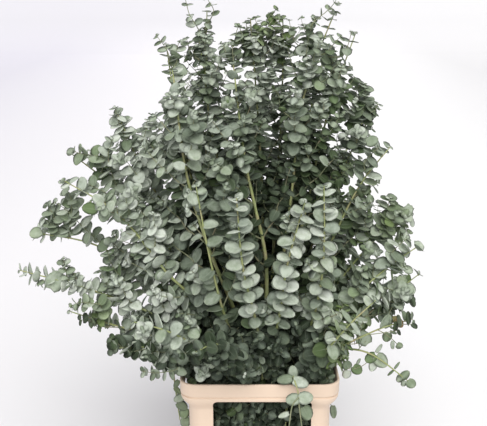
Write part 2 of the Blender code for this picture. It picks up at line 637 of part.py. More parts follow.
# The collar is one moulding. It is made of its foot, its four posts and its rim, which keeps
# each of them simple and the windows between them open.
bpy.data.objects.remove(collar, do_unlink=True)
for cutter in list(cutters.objects):
    bpy.data.objects.remove(cutter, do_unlink=True)
WIDE, SLIT = 0.30, 0.00015
share_of(shells["collar"], "collar_foot", (-WIDE, -WIDE, 0.15), (WIDE, WIDE, WINDOW_LOW - SLIT))
share_of(shells["collar"], "collar_rim", (-WIDE, -WIDE, WINDOW_HIGH + SLIT), (WIDE, WIDE, 0.50))
for side_x, word_x in ((-1, "left"), (1, "right")):
    for side_y, word_y in ((-1, "front"), (1, "back")):
        near, far = sorted((0, side_x * WIDE)), sorted((0, side_y * WIDE))
        share_of(
            shells["collar"],
            f"collar_post_{word_y}_{word_x}",
            (near[0], far[0], WINDOW_LOW + SLIT),
            (near[1], far[1], WINDOW_HIGH - SLIT),
        )

branch_plan = plan()
for i, b in enumerate(branch_plan):
    n = len(b["line"]) - 1
    b["places"] = leaf_places(n, b["leafy"], (0.0, 0.15, 0.38, 0.68))
    chosen = []
    for twig in sorted(b["twigs"], key=lambda t: -len(t[0])):
        if len(chosen) < 2 and all(abs(twig[3] - p) > 1 for p in b["places"] + [t[3] for t in chosen]):
            chosen.append(twig)
    b["chosen"] = chosen
    kept = thin(b["line"], 0.0018, 24, b["places"] + [t[3] for t in chosen])
    kept = clear_places(b["line"], b["radii"], kept)
    b["stem"] = ([b["line"][k] for k in kept], [b["radii"][k] for k in kept], kept)
    bm = stem_loft(b["stem"][0], b["stem"][1], {})
    if taken.hit(bm, i, 0.0005):
        print("main stem meets another:", b["name"])
    taken.add(bm, i)
    bm.free()

LEAF_COLOURS = ((0.20, 0.27, 0.22), (0.25, 0.32, 0.28), (0.31, 0.38, 0.35), (0.22, 0.31, 0.20))
TURNS = (0.0, 0.35, -0.35, 0.7, -0.7, 1.05, -1.05, 1.4)


def find_pair(owner, stem, place, turn, radius):
    """The turn and radius at which a leaf pair is clear of the other branches, or None."""
    points, radii, kept = stem
    k = kept.index(place)
    axes = carried(points)[k]
    for j, more in enumerate(TURNS):
        size = radius * (1 - 0.05 * j)
        bm = pair_mesh(points[k], axes, radii[k], turn + more, size)
        free = off_the_holder(bm, 0.0015) and not taken.hit(bm, owner, 0.0008)
        if free:
            taken.add(bm, owner)
        bm.free()
        if free:
            return turn + more, size
    return None


total_pairs = 0
for i, b in enumerate(branch_plan):
    rng = random.Random(3000 + i)
    name = b["name"]
    size = LEAF_R * b["size"]
    turn = rng.uniform(0, math.pi)
    found = {}
    for j, k in enumerate(b["places"]):
        fit = find_pair(i, b["stem"], k, turn + j * math.pi / 2, size * min(1.0, 0.62 + 0.16 * j))
        if fit:
            found[b["stem"][2].index(k)] = fit
    pieces = [stem_loft(b["stem"][0], b["stem"][1], found)]
    total_pairs += len(found)
    for twig, r0, turn, _ in b["chosen"]:
        m = len(twig) - 1
        kept = sorted({0, m - 1, m} | ({m // 2} if m > 9 else set()))
        rs = [r0 * (1 - 0.6 * k / m) for k in range(m + 1)]
        stem = ([twig[k] for k in kept], [rs[k] for k in kept], kept)
        bm = stem_loft(stem[0], stem[1], {})
        blocked = taken.hit(bm, i, 0.0006) or not off_the_holder(bm, 0.0008)
        if not blocked:
            taken.add(bm, i)
        bm.free()
        if blocked:
            continue
        fit = find_pair(i, stem, m - 1, turn, size * 0.85)
        pieces.append(stem_loft(stem[0], stem[1], {kept.index(m - 1): fit} if fit else {}))
        total_pairs += bool(fit)

    green = material("leaf_" + name, LEAF_COLOURS[i % 4], 0.6)
    base = from_bmesh(pieces[0], name, parts, green)
    if len(pieces) > 1:
        group = bpy.data.collections.new("grow_" + name)
        cutters.children.link(group)
        for j, bm in enumerate(pieces[1:]):
            helper(from_bmesh(bm, f"{name}_grow_{j}", group))
        join = base.modifiers.new("grow", "BOOLEAN")
        join.operation = "UNION"
        join.solver = "EXACT"
        join.operand_type = "COLLECTION"
        join.collection = group
        mesh = evaluated_mesh(base)
        base.modifiers.remove(join)
        old = base.data
        base.data = mesh
        bpy.data.meshes.remove(old)
        for obj in list(group.objects):
            bpy.data.objects.remove(obj, do_unlink=True)
        bpy.data.collections.remove(group)

for obj in parts.objects:
    if obj.type == "MESH":
        obj.data.shade_smooth()
        obj.data.set_sharp_from_angle(angle=math.radians(35))

counts = {o.name: len(evaluated_mesh(o).polygons) for o in parts.objects}
print("pieces", len(parts.objects), "faces", sum(counts.values()), "leaf pairs", total_pairs)
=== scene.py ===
"""The looks of cut eucalyptus branches in a flower bucket: foliage, stems, bucket, light and camera."""

import math
import random

import bmesh
import bpy
import numpy as np
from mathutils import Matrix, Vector
from mathutils.kdtree import KDTree


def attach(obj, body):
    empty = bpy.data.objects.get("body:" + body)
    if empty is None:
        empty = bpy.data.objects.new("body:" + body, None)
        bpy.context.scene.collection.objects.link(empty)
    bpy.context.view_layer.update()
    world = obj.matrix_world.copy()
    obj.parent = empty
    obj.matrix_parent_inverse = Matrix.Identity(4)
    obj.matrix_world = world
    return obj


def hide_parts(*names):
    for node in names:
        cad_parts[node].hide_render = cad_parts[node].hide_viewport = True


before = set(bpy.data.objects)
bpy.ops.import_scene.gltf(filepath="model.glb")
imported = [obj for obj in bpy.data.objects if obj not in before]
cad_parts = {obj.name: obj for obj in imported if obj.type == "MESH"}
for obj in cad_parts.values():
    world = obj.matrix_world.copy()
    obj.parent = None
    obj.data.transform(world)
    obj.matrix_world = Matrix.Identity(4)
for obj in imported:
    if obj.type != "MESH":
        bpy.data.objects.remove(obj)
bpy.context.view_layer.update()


# ---------------------------------------------------------------- driving dimensions
RIM_X, RIM_Y = 0.306, 0.406  # outside of the collar's rim
RIM_Z = 0.450  # top of the rim above the floor
RIM_BAND = 0.026  # height of the rim's upright band
POST_X, POST_Y = 0.275, 0.375  # outside of the collar's posts
COLLAR_FOOT_Z = 0.2006  # where the collar stands on the bucket
COLLAR_WALL = 0.0030
BUCKET_Z = 0.2000  # top of the bucket's lip
BUCKET_WALL = 0.0028
FOOT_X, FOOT_Y = 0.236, 0.336  # outside of the bucket's foot
CORNER_R = 0.030
GAP = 0.0004  # left between pieces that touch

MAIN_R = 0.0043  # a main stem's radius at its cut end
TWIG_R = 0.0016
LEAF_R = 0.0155  # a grown leaf's radius
LEAF_T = 0.0011  # thickness at the middle of a plain leaf pair
FOOT_Z = BUCKET_WALL + GAP  # where the cut ends stand, on the bucket's floor

# The front elevation the branches are set out on: a point (u, v) on it, with its depth y.
EYE = np.array([-0.0311, -1.5817, 1.1821])
PITCH = math.radians(16.0)
SPAN = 811.7


def spot(u, v, y):
    """The point of the elevation at (u, v), at depth y, in metres."""
    c, s = math.cos(PITCH), math.sin(PITCH)
    d = np.array([(u - 243.5) / SPAN, c + s * (213 - v) / SPAN, -s + c * (213 - v) / SPAN])
    return EYE + d * ((y - EYE[1]) / d[1])


# name, route on the elevation from low to tip as (u, v, y), leafy from this share of the
# length, twig length, leaf size
BRANCHES = [
    ("front_middle", [(263, 372, -0.175), (256, 322, -0.22), (243, 268, -0.26), (236, 194, -0.27)], 0.42, 0.055, 1.10),
    ("front_right_inner", [(270, 366, -0.17), (280, 312, -0.23), (288, 262, -0.27), (305, 202, -0.28)], 0.42, 0.060, 1.10),
    ("front_right_outer", [(300, 360, -0.16), (318, 300, -0.22), (324, 250, -0.25), (324, 184, -0.24)], 0.42, 0.070, 1.10),
    ("front_left_inner", [(238, 360, -0.16), (220, 300, -0.21), (206, 240, -0.23), (196, 186, -0.22)], 0.46, 0.080, 1.00),
    ("front_left_low", [(226, 366, -0.18), (196, 345, -0.25), (164, 330, -0.28), (134, 322, -0.28)], 0.45, 0.075, 1.10),
    ("front_right_low", [(306, 366, -0.18), (330, 346, -0.25), (352, 322, -0.27), (376, 300, -0.26)], 0.45, 0.075, 1.00),
    ("front_centre_low", [(252, 372, -0.18), (232, 352, -0.26), (214, 344, -0.30), (196, 352, -0.33)], 0.45, 0.060, 1.00),
    ("over_rim_sprig", [(292, 374, -0.180), (294, 379, -0.212), (298, 392, -0.226), (299, 408, -0.226)], 0.62, 0.030, 0.80),
    ("over_left_rim", [(204, 368, -0.10), (187, 355, -0.11), (175, 362, -0.12), (176, 392, -0.12), (180, 420, -0.12)], 0.60, 0.034, 0.85),
    ("stem_tall_left", [(238, 325, -0.12), (208, 246, -0.15), (187, 176, -0.15), (172, 66, -0.10)], 0.62, 0.110, 0.95),
    ("stem_tall_middle", [(266, 262, -0.12), (255, 207, -0.13), (245, 160, -0.13), (233, 62, -0.09)], 0.60, 0.100, 0.90),
    ("top_left", [(246, 300, -0.02), (226, 200, 0.0), (206, 90, 0.0), (207, 10, 0.02)], 0.58, 0.110, 0.85),
    ("top_middle", [(262, 290, 0.0), (262, 190, 0.02), (256, 90, 0.02), (250, 14, 0.0)], 0.58, 0.110, 0.85),
    ("top_right_inner", [(272, 290, 0.03), (276, 200, 0.06), (282, 100, 0.06), (283, 12, 0.05)], 0.58, 0.110, 0.85),
    ("top_right", [(280, 290, -0.04), (292, 190, -0.05), (304, 96, -0.04), (338, 3, -0.02)], 0.60, 0.110, 0.85),
    ("right_shoulder", [(286, 300, -0.03), (308, 200, -0.03), (330, 106, -0.02), (356, 32, 0.0)], 0.58, 0.110, 0.85),
    ("right_high", [(292, 310, 0.0), (322, 220, 0.02), (352, 150, 0.02), (378, 104, 0.02)], 0.55, 0.105, 0.95),
    ("right_upper", [(296, 320, -0.08), (332, 240, -0.10), (362, 182, -0.10), (391, 146, -0.08)], 0.52, 0.100, 0.95),
    ("right_reach", [(302, 336, -0.06), (348, 270, -0.07), (388, 228, -0.06), (419, 209, -0.05)], 0.48, 0.095, 1.05),
    ("right_middle", [(304, 346, -0.12), (350, 300, -0.15), (392, 264, -0.14), (423, 243, -0.12)], 0.46, 0.090, 1.05),
    ("right_low", [(304, 354, -0.04), (346, 328, -0.05), (388, 296, -0.05), (420, 272, -0.03)], 0.46, 0.090, 1.05),
    ("right_lowest", [(306, 362, -0.10), (346, 344, -0.16), (382, 328, -0.17), (413, 319, -0.16)], 0.46, 0.070, 1.00),
    ("right_hanging", [(303, 364, -0.06), (334, 350, -0.12), (366, 352, -0.15), (411, 383, -0.15)], 0.52, 0.045, 0.95),
    ("left_top_spray", [(240, 310, -0.06), (206, 228, -0.08), (180, 130, -0.08), (166, 44, -0.05)], 0.58, 0.105, 0.90),
    ("left_high", [(236, 318, 0.0), (190, 244, 0.0), (146, 176, -0.02), (115, 108, -0.03)], 0.55, 0.095, 0.95),
    ("left_upper", [(232, 326, -0.08), (176, 256, -0.08), (122, 194, -0.06), (68, 151, -0.04)], 0.52, 0.090, 0.95),
    ("left_reach", [(230, 334, -0.14), (170, 276, -0.16), (118, 214, -0.15), (63, 180, -0.13)], 0.50, 0.085, 0.95),
    ("left_middle", [(228, 342, -0.05), (162, 290, -0.07), (98, 246, -0.08), (32, 232, -0.08)], 0.48, 0.085, 0.95),
    ("left_lower_reach", [(226, 350, -0.11), (158, 316, -0.13), (92, 290, -0.12), (19, 270, -0.09)], 0.48, 0.080, 0.95),
    ("left_low", [(225, 356, -0.03), (166, 340, -0.08), (116, 324, -0.12), (66, 310, -0.13)], 0.48, 0.070, 0.95),
    ("left_lowest", [(224, 362, -0.10), (188, 354, -0.17), (150, 350, -0.20), (106, 346, -0.20)], 0.48, 0.050, 1.00),
    ("left_drooping", [(222, 368, -0.07), (196, 362, -0.12), (172, 366, -0.15), (144, 374, -0.16)], 0.55, 0.034, 0.90),
]

# The branches behind, whose routes are (x, y, z) in metres.
BACK_BRANCHES = [
    ("back_left_top", [(-0.04, 0.10, 0.56), (-0.08, 0.16, 0.75), (-0.11, 0.19, 0.95), (-0.13, 0.20, 1.08)], 0.50, 0.110, 0.95),
    ("back_right_top", [(0.04, 0.10, 0.56), (0.08, 0.16, 0.75), (0.12, 0.19, 0.93), (0.15, 0.20, 1.05)], 0.50, 0.110, 0.95),
    ("back_left", [(-0.06, 0.12, 0.53), (-0.15, 0.19, 0.68), (-0.23, 0.24, 0.82), (-0.29, 0.27, 0.92)], 0.45, 0.100, 1.00),
    ("back_right", [(0.05, 0.12, 0.53), (0.13, 0.19, 0.68), (0.20, 0.24, 0.80), (0.26, 0.27, 0.90)], 0.45, 0.100, 1.00),
    ("back_middle", [(0.0, 0.13, 0.54), (0.0, 0.22, 0.70), (0.01, 0.30, 0.84), (0.01, 0.35, 0.96)], 0.45, 0.105, 1.00),
    ("back_left_low", [(-0.06, 0.15, 0.53), (-0.14, 0.24, 0.60), (-0.23, 0.31, 0.66), (-0.31, 0.34, 0.70)], 0.42, 0.090, 1.00),
    ("back_right_low", [(0.05, 0.15, 0.53), (0.12, 0.25, 0.60), (0.19, 0.31, 0.65), (0.27, 0.35, 0.69)], 0.42, 0.090, 1.00),
    ("back_middle_low", [(0.0, 0.16, 0.53), (0.01, 0.27, 0.58), (0.02, 0.35, 0.61), (0.03, 0.42, 0.62)], 0.42, 0.085, 1.00),
    ("back_left_drooping", [(-0.05, 0.16, 0.51), (-0.09, 0.25, 0.55), (-0.13, 0.32, 0.54), (-0.16, 0.37, 0.49)], 0.50, 0.055, 0.95),
    ("back_right_drooping", [(0.05, 0.16, 0.51), (0.09, 0.25, 0.54), (0.14, 0.31, 0.53), (0.18, 0.35, 0.48)], 0.50, 0.055, 0.95),
    ("side_left", [(-0.08, 0.06, 0.52), (-0.18, 0.11, 0.60), (-0.29, 0.15, 0.66), (-0.38, 0.17, 0.71)], 0.44, 0.090, 1.00),
    ("side_right", [(0.07, 0.06, 0.52), (0.15, 0.11, 0.58), (0.23, 0.15, 0.63), (0.31, 0.17, 0.69)], 0.44, 0.090, 1.00),
]


# ---------------------------------------------------------------- branch plan
def branch_list():
    """Every branch as (name, route in metres, leafy, reach, size)."""
    front = [(name, [spot(*p) for p in way], *rest) for name, way, *rest in BRANCHES]
    back = [(name, [np.array(p) for p in way], *rest) for name, way, *rest in BACK_BRANCHES]
    return front + back


def unit(v):
    return v / max(np.linalg.norm(v), 1e-9)


def smooth(points, step):
    """Points every step along a centripetal Catmull-Rom curve through these."""
    p = [np.asarray(q, float) for q in points]
    p = [2 * p[0] - p[1]] + p + [2 * p[-1] - p[-2]]
    out = []
    for a, b, c, d in zip(p, p[1:], p[2:], p[3:]):
        t = [0.0]
        for q, r in ((a, b), (b, c), (c, d)):
            t.append(t[-1] + max(np.linalg.norm(r - q), 1e-6) ** 0.5)
        for k in range(24):
            s = t[1] + (t[2] - t[1]) * k / 24
            a1 = (t[1] - s) / (t[1] - t[0]) * a + (s - t[0]) / (t[1] - t[0]) * b
            a2 = (t[2] - s) / (t[2] - t[1]) * b + (s - t[1]) / (t[2] - t[1]) * c
            a3 = (t[3] - s) / (t[3] - t[2]) * c + (s - t[2]) / (t[3] - t[2]) * d
            b1 = (t[2] - s) / (t[2] - t[0]) * a1 + (s - t[0]) / (t[2] - t[0]) * a2
            b2 = (t[3] - s) / (t[3] - t[1]) * a2 + (s - t[1]) / (t[3] - t[1]) * a3
            out.append((t[2] - s) / (t[2] - t[1]) * b1 + (s - t[1]) / (t[2] - t[1]) * b2)
    out.append(p[-2])
    out = np.array(out)
    run = np.concatenate([[0], np.cumsum(np.linalg.norm(np.diff(out, axis=0), axis=1))])
    n = max(2, int(round(run[-1] / step)))
    at = np.linspace(0, run[-1], n + 1)
    return np.stack([np.interp(at, run, out[:, k]) for k in range(3)], axis=1)


def inside_clear(p, r):
    """Whether a ball of radius r at p stays off the bucket and the collar."""
    x, y, z = abs(p[0]), abs(p[1]), p[2]
    if z - r < 0.0032:
        return False
    if z > RIM_Z + r + 0.001:
        return True
    if z < 0.205:
        k = z / 0.205
        inner_x, inner_y = 0.113 + 0.010 * k, 0.163 + 0.010 * k
    else:
        inner_x, inner_y = POST_X / 2 - 0.006, POST_Y / 2 - 0.006
    if x + r < inner_x and y + r < inner_y:
        return not (x + r > inner_x - 0.02 and y + r > inner_y - 0.02)
    return x - r > RIM_X / 2 + 0.002 or y - r > RIM_Y / 2 + 0.002


def spread(points, least, half_x, half_y):
    """Moves points apart in a rectangle until no two are nearer than least, as far as it goes."""
    pts = np.array(points, float)
    for _ in range(400):
        push = np.zeros_like(pts)
        d = pts[:, None, :] - pts[None, :, :]
        dist = np.linalg.norm(d, axis=2) + 1e-9
        near = (dist < least) & (dist > 1e-8)
        push += np.where(near[..., None], d / dist[..., None] * (least - dist)[..., None] * 0.5, 0).sum(axis=1)
        pts += push
        pts[:, 0] = np.clip(pts[:, 0], -half_x, half_x)
        pts[:, 1] = np.clip(pts[:, 1], -half_y, half_y)
    return pts


def stem_radius(s, length):
    """A main stem's radius at the share s of its length."""
    foot = MAIN_R * min(1.0, 0.55 + 0.5 * length)
    return foot * (1 - s) ** 0.8 + 0.0009


def routes():
    """Each main stem's points, from its cut end on the bucket's floor to its tip."""
    wish = []
    for _, way, *_ in branch_list():
        first, tip = way[0], way[-1]
        pull = 0.72 * first[:2] + 0.10 * tip[:2]
        wish.append([pull[0] + 1e-3 * len(wish) % 0.007, pull[1] + 0.8e-3 * len(wish) % 0.005])
    mouths = spread(wish, 0.0285, 0.100, 0.148)
    feet = spread(mouths * 0.62, 0.0165, 0.066, 0.104)
    kept = []
    for i, (name, body, *_) in enumerate(branch_list()):
        rng = random.Random(1000 + i)
        foot = np.array([feet[i][0], feet[i][1], FOOT_Z])
        mouth = np.array([mouths[i][0], mouths[i][1], 0.405])
        best = None
        for trial in range(160):
            size = 0.0 if trial == 0 else 0.004 + 0.00022 * trial
            move = [np.array([rng.uniform(-1, 1), rng.uniform(-1, 1), rng.uniform(-0.5, 0.5)]) * size for _ in body]
            move[-1] = move[-1] * 0.5
            shift = np.array([rng.uniform(-1, 1), rng.uniform(-1, 1), 0]) * min(size, 0.012)
            line = smooth([foot + shift * 0.4, mouth + shift] + [p + m for p, m in zip(body, move)], 0.008)
            run = len(line) - 1
            length = 0.008 * run
            radii = np.array([stem_radius(k / run, length) for k in range(run + 1)])
            line[0, 2] = FOOT_Z
            low = [inside_clear(p, r + 0.0006) or p[2] < 0.02 for p, r in zip(line, radii)]
            gap = 1.0
            for other, thick in kept:
                d = np.sqrt(((line[:, None, :] - other[None, :, :]) ** 2).sum(axis=2))
                gap = min(gap, (d - radii[:, None] - thick[None, :]).min())
            worth = (sum(low) - len(low), min(gap, 0.0042))
            if best is None or worth > best[0]:
                best = (worth, line, radii)
            if all(low) and gap > 0.0040:
                break
        kept.append((best[1], best[2]))
        if best[0][0] < 0 or best[0][1] < 0.0035:
            print("route", name, best[0])
    return kept


def frame_at(line, k):
    """The direction along the line at point k."""
    return unit(line[min(k + 1, len(line) - 1)] - line[max(k - 1, 0)])


def across(direction, turn, up=(0.0, 0.0, 1.0)):
    """A unit vector square to the direction, turned about it by turn."""
    a = np.cross(direction, np.asarray(up) if abs(direction[2]) < 0.96 else np.array([1.0, 0, 0]))
    a = unit(a)
    b = np.cross(direction, a)
    return a * math.cos(turn) + b * math.sin(turn)


def twig_line(start, along, side, length, rng, lift):
    """A twig that leaves the stem sideways and then bends along it and up."""
    points = [start]
    heading = unit(along * 0.75 + side * 0.85)
    steps = max(3, int(length / 0.012))
    drift = np.array([rng.uniform(-1, 1), rng.uniform(-1, 1), rng.uniform(-1, 1)]) * 0.10
    for k in range(steps):
        aim = unit(along * 0.55 + np.array([0, 0, lift]) + side * 0.35 + drift)
        heading = unit(heading * 0.86 + aim * 0.14)
        points.append(points[-1] + heading * (length / steps))
    return np.array(points)


def plan():
    """For each branch: its main line and radii, and its twigs as (line, root radius, turn, place on the main line)."""
    done = []
    for i, ((name, _, leafy, reach, size), (line, radii)) in enumerate(zip(branch_list(), routes())):
        rng = random.Random(2000 + i)
        n = len(line) - 1
        k = int(n * leafy)
        turn = rng.uniform(0, math.pi)
        twigs = []
        while k < n - 6:
            share = (k - n * leafy) / (n * (1 - leafy))
            along = frame_at(line, k)
            for half in (0, 1):
                if rng.random() < 0.22:
                    continue
                side = across(along, turn + half * math.pi + rng.uniform(-0.3, 0.3))
                length = reach * (1.45 - 1.0 * share) * rng.uniform(0.7, 1.25)
                twig = twig_line(line[k], along, side, length, rng, 0.30)
                twigs.append((twig, min(TWIG_R, radii[k] * 0.6), rng.uniform(0, math.pi), k))
            turn += math.pi / 2 + rng.uniform(-0.3, 0.3)
            k += max(3, int((0.030 + 0.020 * rng.random()) / 0.008))
        done.append({"name": name, "line": line, "radii": radii, "twigs": twigs, "leafy": leafy, "size": size})
    return done


def carried(points):
    """A pair of cross axes at each point, carried along the line without twist."""
    a = None
    out = []
    for k in range(len(points)):
        t = frame_at(points, k)
        if points[k][2] < 0.006:
            t = np.array([0.0, 0.0, 1.0])  # the cut end stands flat on the bucket's floor
        if a is None:
            a = across(t, 0.0)
        a = unit(a - t * np.dot(a, t))
        out.append((t, a, np.cross(t, a)))
    return out


# ---------------------------------------------------------------- camera
cam_data = bpy.data.cameras.new("camera")
cam_data.sensor_fit = "HORIZONTAL"
cam_data.sensor_width = 36.0
cam_data.lens = SPAN / 487.0 * 36.0
cam_data.clip_end = 60.0
cam = bpy.data.objects.new("camera", cam_data)
cam.location = EYE
cam.rotation_euler = (math.pi / 2 - PITCH, 0.0, 0.0)
bpy.context.scene.collection.objects.link(cam)
bpy.context.scene.camera = cam


# ---------------------------------------------------------------- mesh helpers
def link(obj):
    bpy.context.scene.collection.objects.link(obj)
    return obj


def mesh_object(name, verts, tris, mat, uv=None, tone=None, smooth=True):
    """A mesh from arrays: verts (n, 3), tris (m, 3), uv (n, 2) and tone (n, 4) by vertex."""
    mesh = bpy.data.meshes.new(name)
    m = len(tris)
    mesh.vertices.add(len(verts))
    mesh.vertices.foreach_set("co", np.ascontiguousarray(verts, np.float32).ravel())
    mesh.loops.add(3 * m)
    mesh.loops.foreach_set("vertex_index", np.ascontiguousarray(tris, np.int32).ravel())
    mesh.polygons.add(m)
    mesh.polygons.foreach_set("loop_start", np.arange(0, 3 * m, 3, dtype=np.int32))
    mesh.polygons.foreach_set("use_smooth", np.full(m, smooth))
    if uv is not None:
        layer = mesh.uv_layers.new(name="blade")
        layer.data.foreach_set("uv", np.ascontiguousarray(uv[np.asarray(tris).ravel()], np.float32).ravel())
    if tone is not None:
        attr = mesh.color_attributes.new("tone", "FLOAT_COLOR", "POINT")
        attr.data.foreach_set("color", np.ascontiguousarray(tone, np.float32).ravel())
    mesh.update(calc_edges=True)
    mesh.validate()
    mesh.materials.append(mat)
    return link(bpy.data.objects.new(name, mesh))


def tube(points, radii, sides, swell=()):
    """A closed round tube along points: its vertices, its triangles and where each lies along it."""
    points, radii = np.asarray(points, float), np.asarray(radii, float)
    n = len(points)
    axes = carried(points)
    turn = np.arange(sides) * 2 * math.pi / sides
    verts = []
    for c, (t, a, b), r in zip(points, axes, radii):
        verts.append(c + r * (np.outer(np.cos(turn), a) + np.outer(np.sin(turn), b)))
    verts = np.concatenate(verts + [points[:1] - axes[0][0] * radii[0] * 0.02, points[-1:] + axes[-1][0] * radii[-1] * 0.6])
    tris = []
    j = np.arange(sides)
    k = (j + 1) % sides
    for s in range(n - 1):
        p, q = s * sides, (s + 1) * sides
        tris += [np.stack([p + j, p + k, q + k], 1), np.stack([p + j, q + k, q + j], 1)]
    tris.append(np.stack([np.full(sides, n * sides), k, j], 1))
    last = (n - 1) * sides
    tris.append(np.stack([np.full(sides, n * sides + 1), last + j, last + k], 1))
    along = np.concatenate([np.repeat(np.linspace(0, 1, n), sides), [0, 1]])
    return verts, np.concatenate(tris), along


# A leaf blade: rows across it from the stem to its tip, and columns from edge to edge. The
# edge is shared by the upper and lower side, and in between they are a leaf's thickness apart.
def blade(rows, cols):
    top, bottom = {}, {}
    pts = [(0.0, 0.0, 0.0), (1.0, 0.0, 0.0)]
    for r, u in enumerate(rows):
        for c, v in enumerate(cols):
            if abs(v) == 1.0:
                top[r, c] = bottom[r, c] = len(pts)
                pts.append((u, v, 0.0))
            else:
                top[r, c] = len(pts)
                pts.append((u, v, 1.0))
                bottom[r, c] = len(pts)
                pts.append((u, v, -1.0))
    tris = []
    last = len(rows) - 1
    for ids, flip in ((top, False), (bottom, True)):
        side = []
        for c in range(len(cols) - 1):
            side.append((0, ids[0, c], ids[0, c + 1]))
            side.append((1, ids[last, c + 1], ids[last, c]))
            for r in range(last):
                a, b, d, e = ids[r, c], ids[r, c + 1], ids[r + 1, c], ids[r + 1, c + 1]
                if c < (len(cols) - 1) / 2:
                    side += [(a, d, b), (b, d, e)]
                else:
                    side += [(a, d, e), (a, e, b)]
        tris += [t[::-1] for t in side] if flip else side
    return np.array(pts), np.array(tris)


FULL = blade((0.06, 0.24, 0.50, 0.76, 0.94), (-1.0, -0.5, 0.0, 0.5, 1.0))
ROUND = blade((0.06, 0.24, 0.50, 0.76, 0.94), (-1.0, 0.0, 1.0))
MIDDLING = blade((0.08, 0.34, 0.68, 0.92), (-1.0, 0.0, 1.0))
SMALL = blade((0.14, 0.52, 0.88), (-1.0, 0.0, 1.0))
LEAF_THICK = 0.00048


def leaves_mesh(leaves, template):
    """The vertices, triangles, blade coordinates and tones of many leaves."""
    pts, tris = template
    u, v, side = pts[:, 0], pts[:, 1], pts[:, 2]
    n = len(leaves)
    col = lambda key: np.array([leaf[key] for leaf in leaves], float)
    o, d, nrm = col("o"), col("d"), col("n")
    y = np.cross(nrm, d)
    R = col("r")[:, None]
    cup, bend, fold, wave, phase, point = (col(k)[:, None] for k in ("cup", "bend", "fold", "wave", "phase", "point"))
    # round and rather broader than long, with a heart-shaped base that clasps the stem and a
    # blunt or slightly drawn-out tip
    wide = col("wide")[:, None]
    w = wide * np.clip(1 - (2 * u - 1) ** 2, 0, 1) ** 0.46 * (1.10 - 0.20 * u)
    x = 1.84 * R * u - 0.26 * R * (np.abs(v) ** 2) * (1 - u) ** 3 + point * R * u**6
    across_ = R * w * v
    lift = cup * R * (v**2) * w + bend * R * (2 * u - 0.3) ** 2 * 0.5 + col("roll")[:, None] * R * v * w * (u - 0.4)
    lift = lift - fold * R * np.exp(-((v / 0.28) ** 2)) * 0.12 * w
    lift = lift + wave * R * np.sin(phase + 5.0 * u + 1.7 * v) * np.abs(v) * w
    half = LEAF_THICK / 2 * side * np.sqrt(np.clip(4 * u * (1 - u), 0.05, 1))
    z = lift + half
    verts = (
        o[:, None, :]
        + x[..., None] * d[:, None, :]
        + across_[..., None] * y[:, None, :]
        + z[..., None] * nrm[:, None, :]
    ).reshape(-1, 3)
    faces = (tris[None] + (np.arange(n) * len(pts))[:, None, None]).reshape(-1, 3)
    flat = np.clip(1 - (2 * u - 1) ** 2, 0, 1) ** 0.46
    uv = np.tile(np.stack([u, v * flat * 0.5 + 0.5], 1), (n, 1))
    tone = np.zeros((n, len(pts), 4))
    tone[..., 0] = col("bloom")[:, None]
    tone[..., 1] = col("fresh")[:, None]
    tone[..., 2] = col("chance")[:, None]
    tone[..., 3] = (side < 0)[None] * 1.0
    return verts, faces, uv, tone.reshape(-1, 4)


# ---------------------------------------------------------------- materials
def nodes_of(name):
    mat = bpy.data.materials.new(name)
    mat.use_nodes = True
    tree = mat.node_tree
    tree.nodes.clear()
    out = tree.nodes.new("ShaderNodeOutputMaterial")
    shader = tree.nodes.new("ShaderNodeBsdfPrincipled")
    tree.links.new(shader.outputs[0], out.inputs[0])

    def add(kind, **settings):
        node = tree.nodes.new("ShaderNode" + kind)
        for key, value in settings.items():
            if key.startswith("in_"):
                node.inputs[int(key[3:])].default_value = value
            else:
                setattr(node, key, value)
        return node

    def wire(a, b):
        tree.links.new(a, b)

    def ramp(fac, stops):
        node = add("ValToRGB")
        band = node.color_ramp
        while len(band.elements) < len(stops):
            band.elements.new(0.5)
        for e, (pos, colour) in zip(band.elements, stops):
            e.position = pos
            e.color = (*colour, 1) if len(colour) == 3 else colour
        wire(fac, node.inputs[0])
        return node.outputs[0]

    def mix(fac, a, b, kind="MIX"):
        node = add("Mix", data_type="RGBA", blend_type=kind)
        for value, socket in ((fac, node.inputs[0]), (a, node.inputs[6]), (b, node.inputs[7])):
            if hasattr(value, "is_linked") or hasattr(value, "links"):
                wire(value, socket)
            else:
                socket.default_value = value if socket is node.inputs[0] else (*value, 1)
        return node.outputs[2]

    def math_(kind, a, b=None, clamp=False):
        node = add("Math", operation=kind, use_clamp=clamp)
        for value, socket in ((a, node.inputs[0]), (b, node.inputs[1])):
            if value is None:
                continue
            if hasattr(value, "links"):
                wire(value, socket)
            else:
                socket.default_value = value
        return node.outputs[0]

    return mat, shader, add, wire, ramp, mix, math_


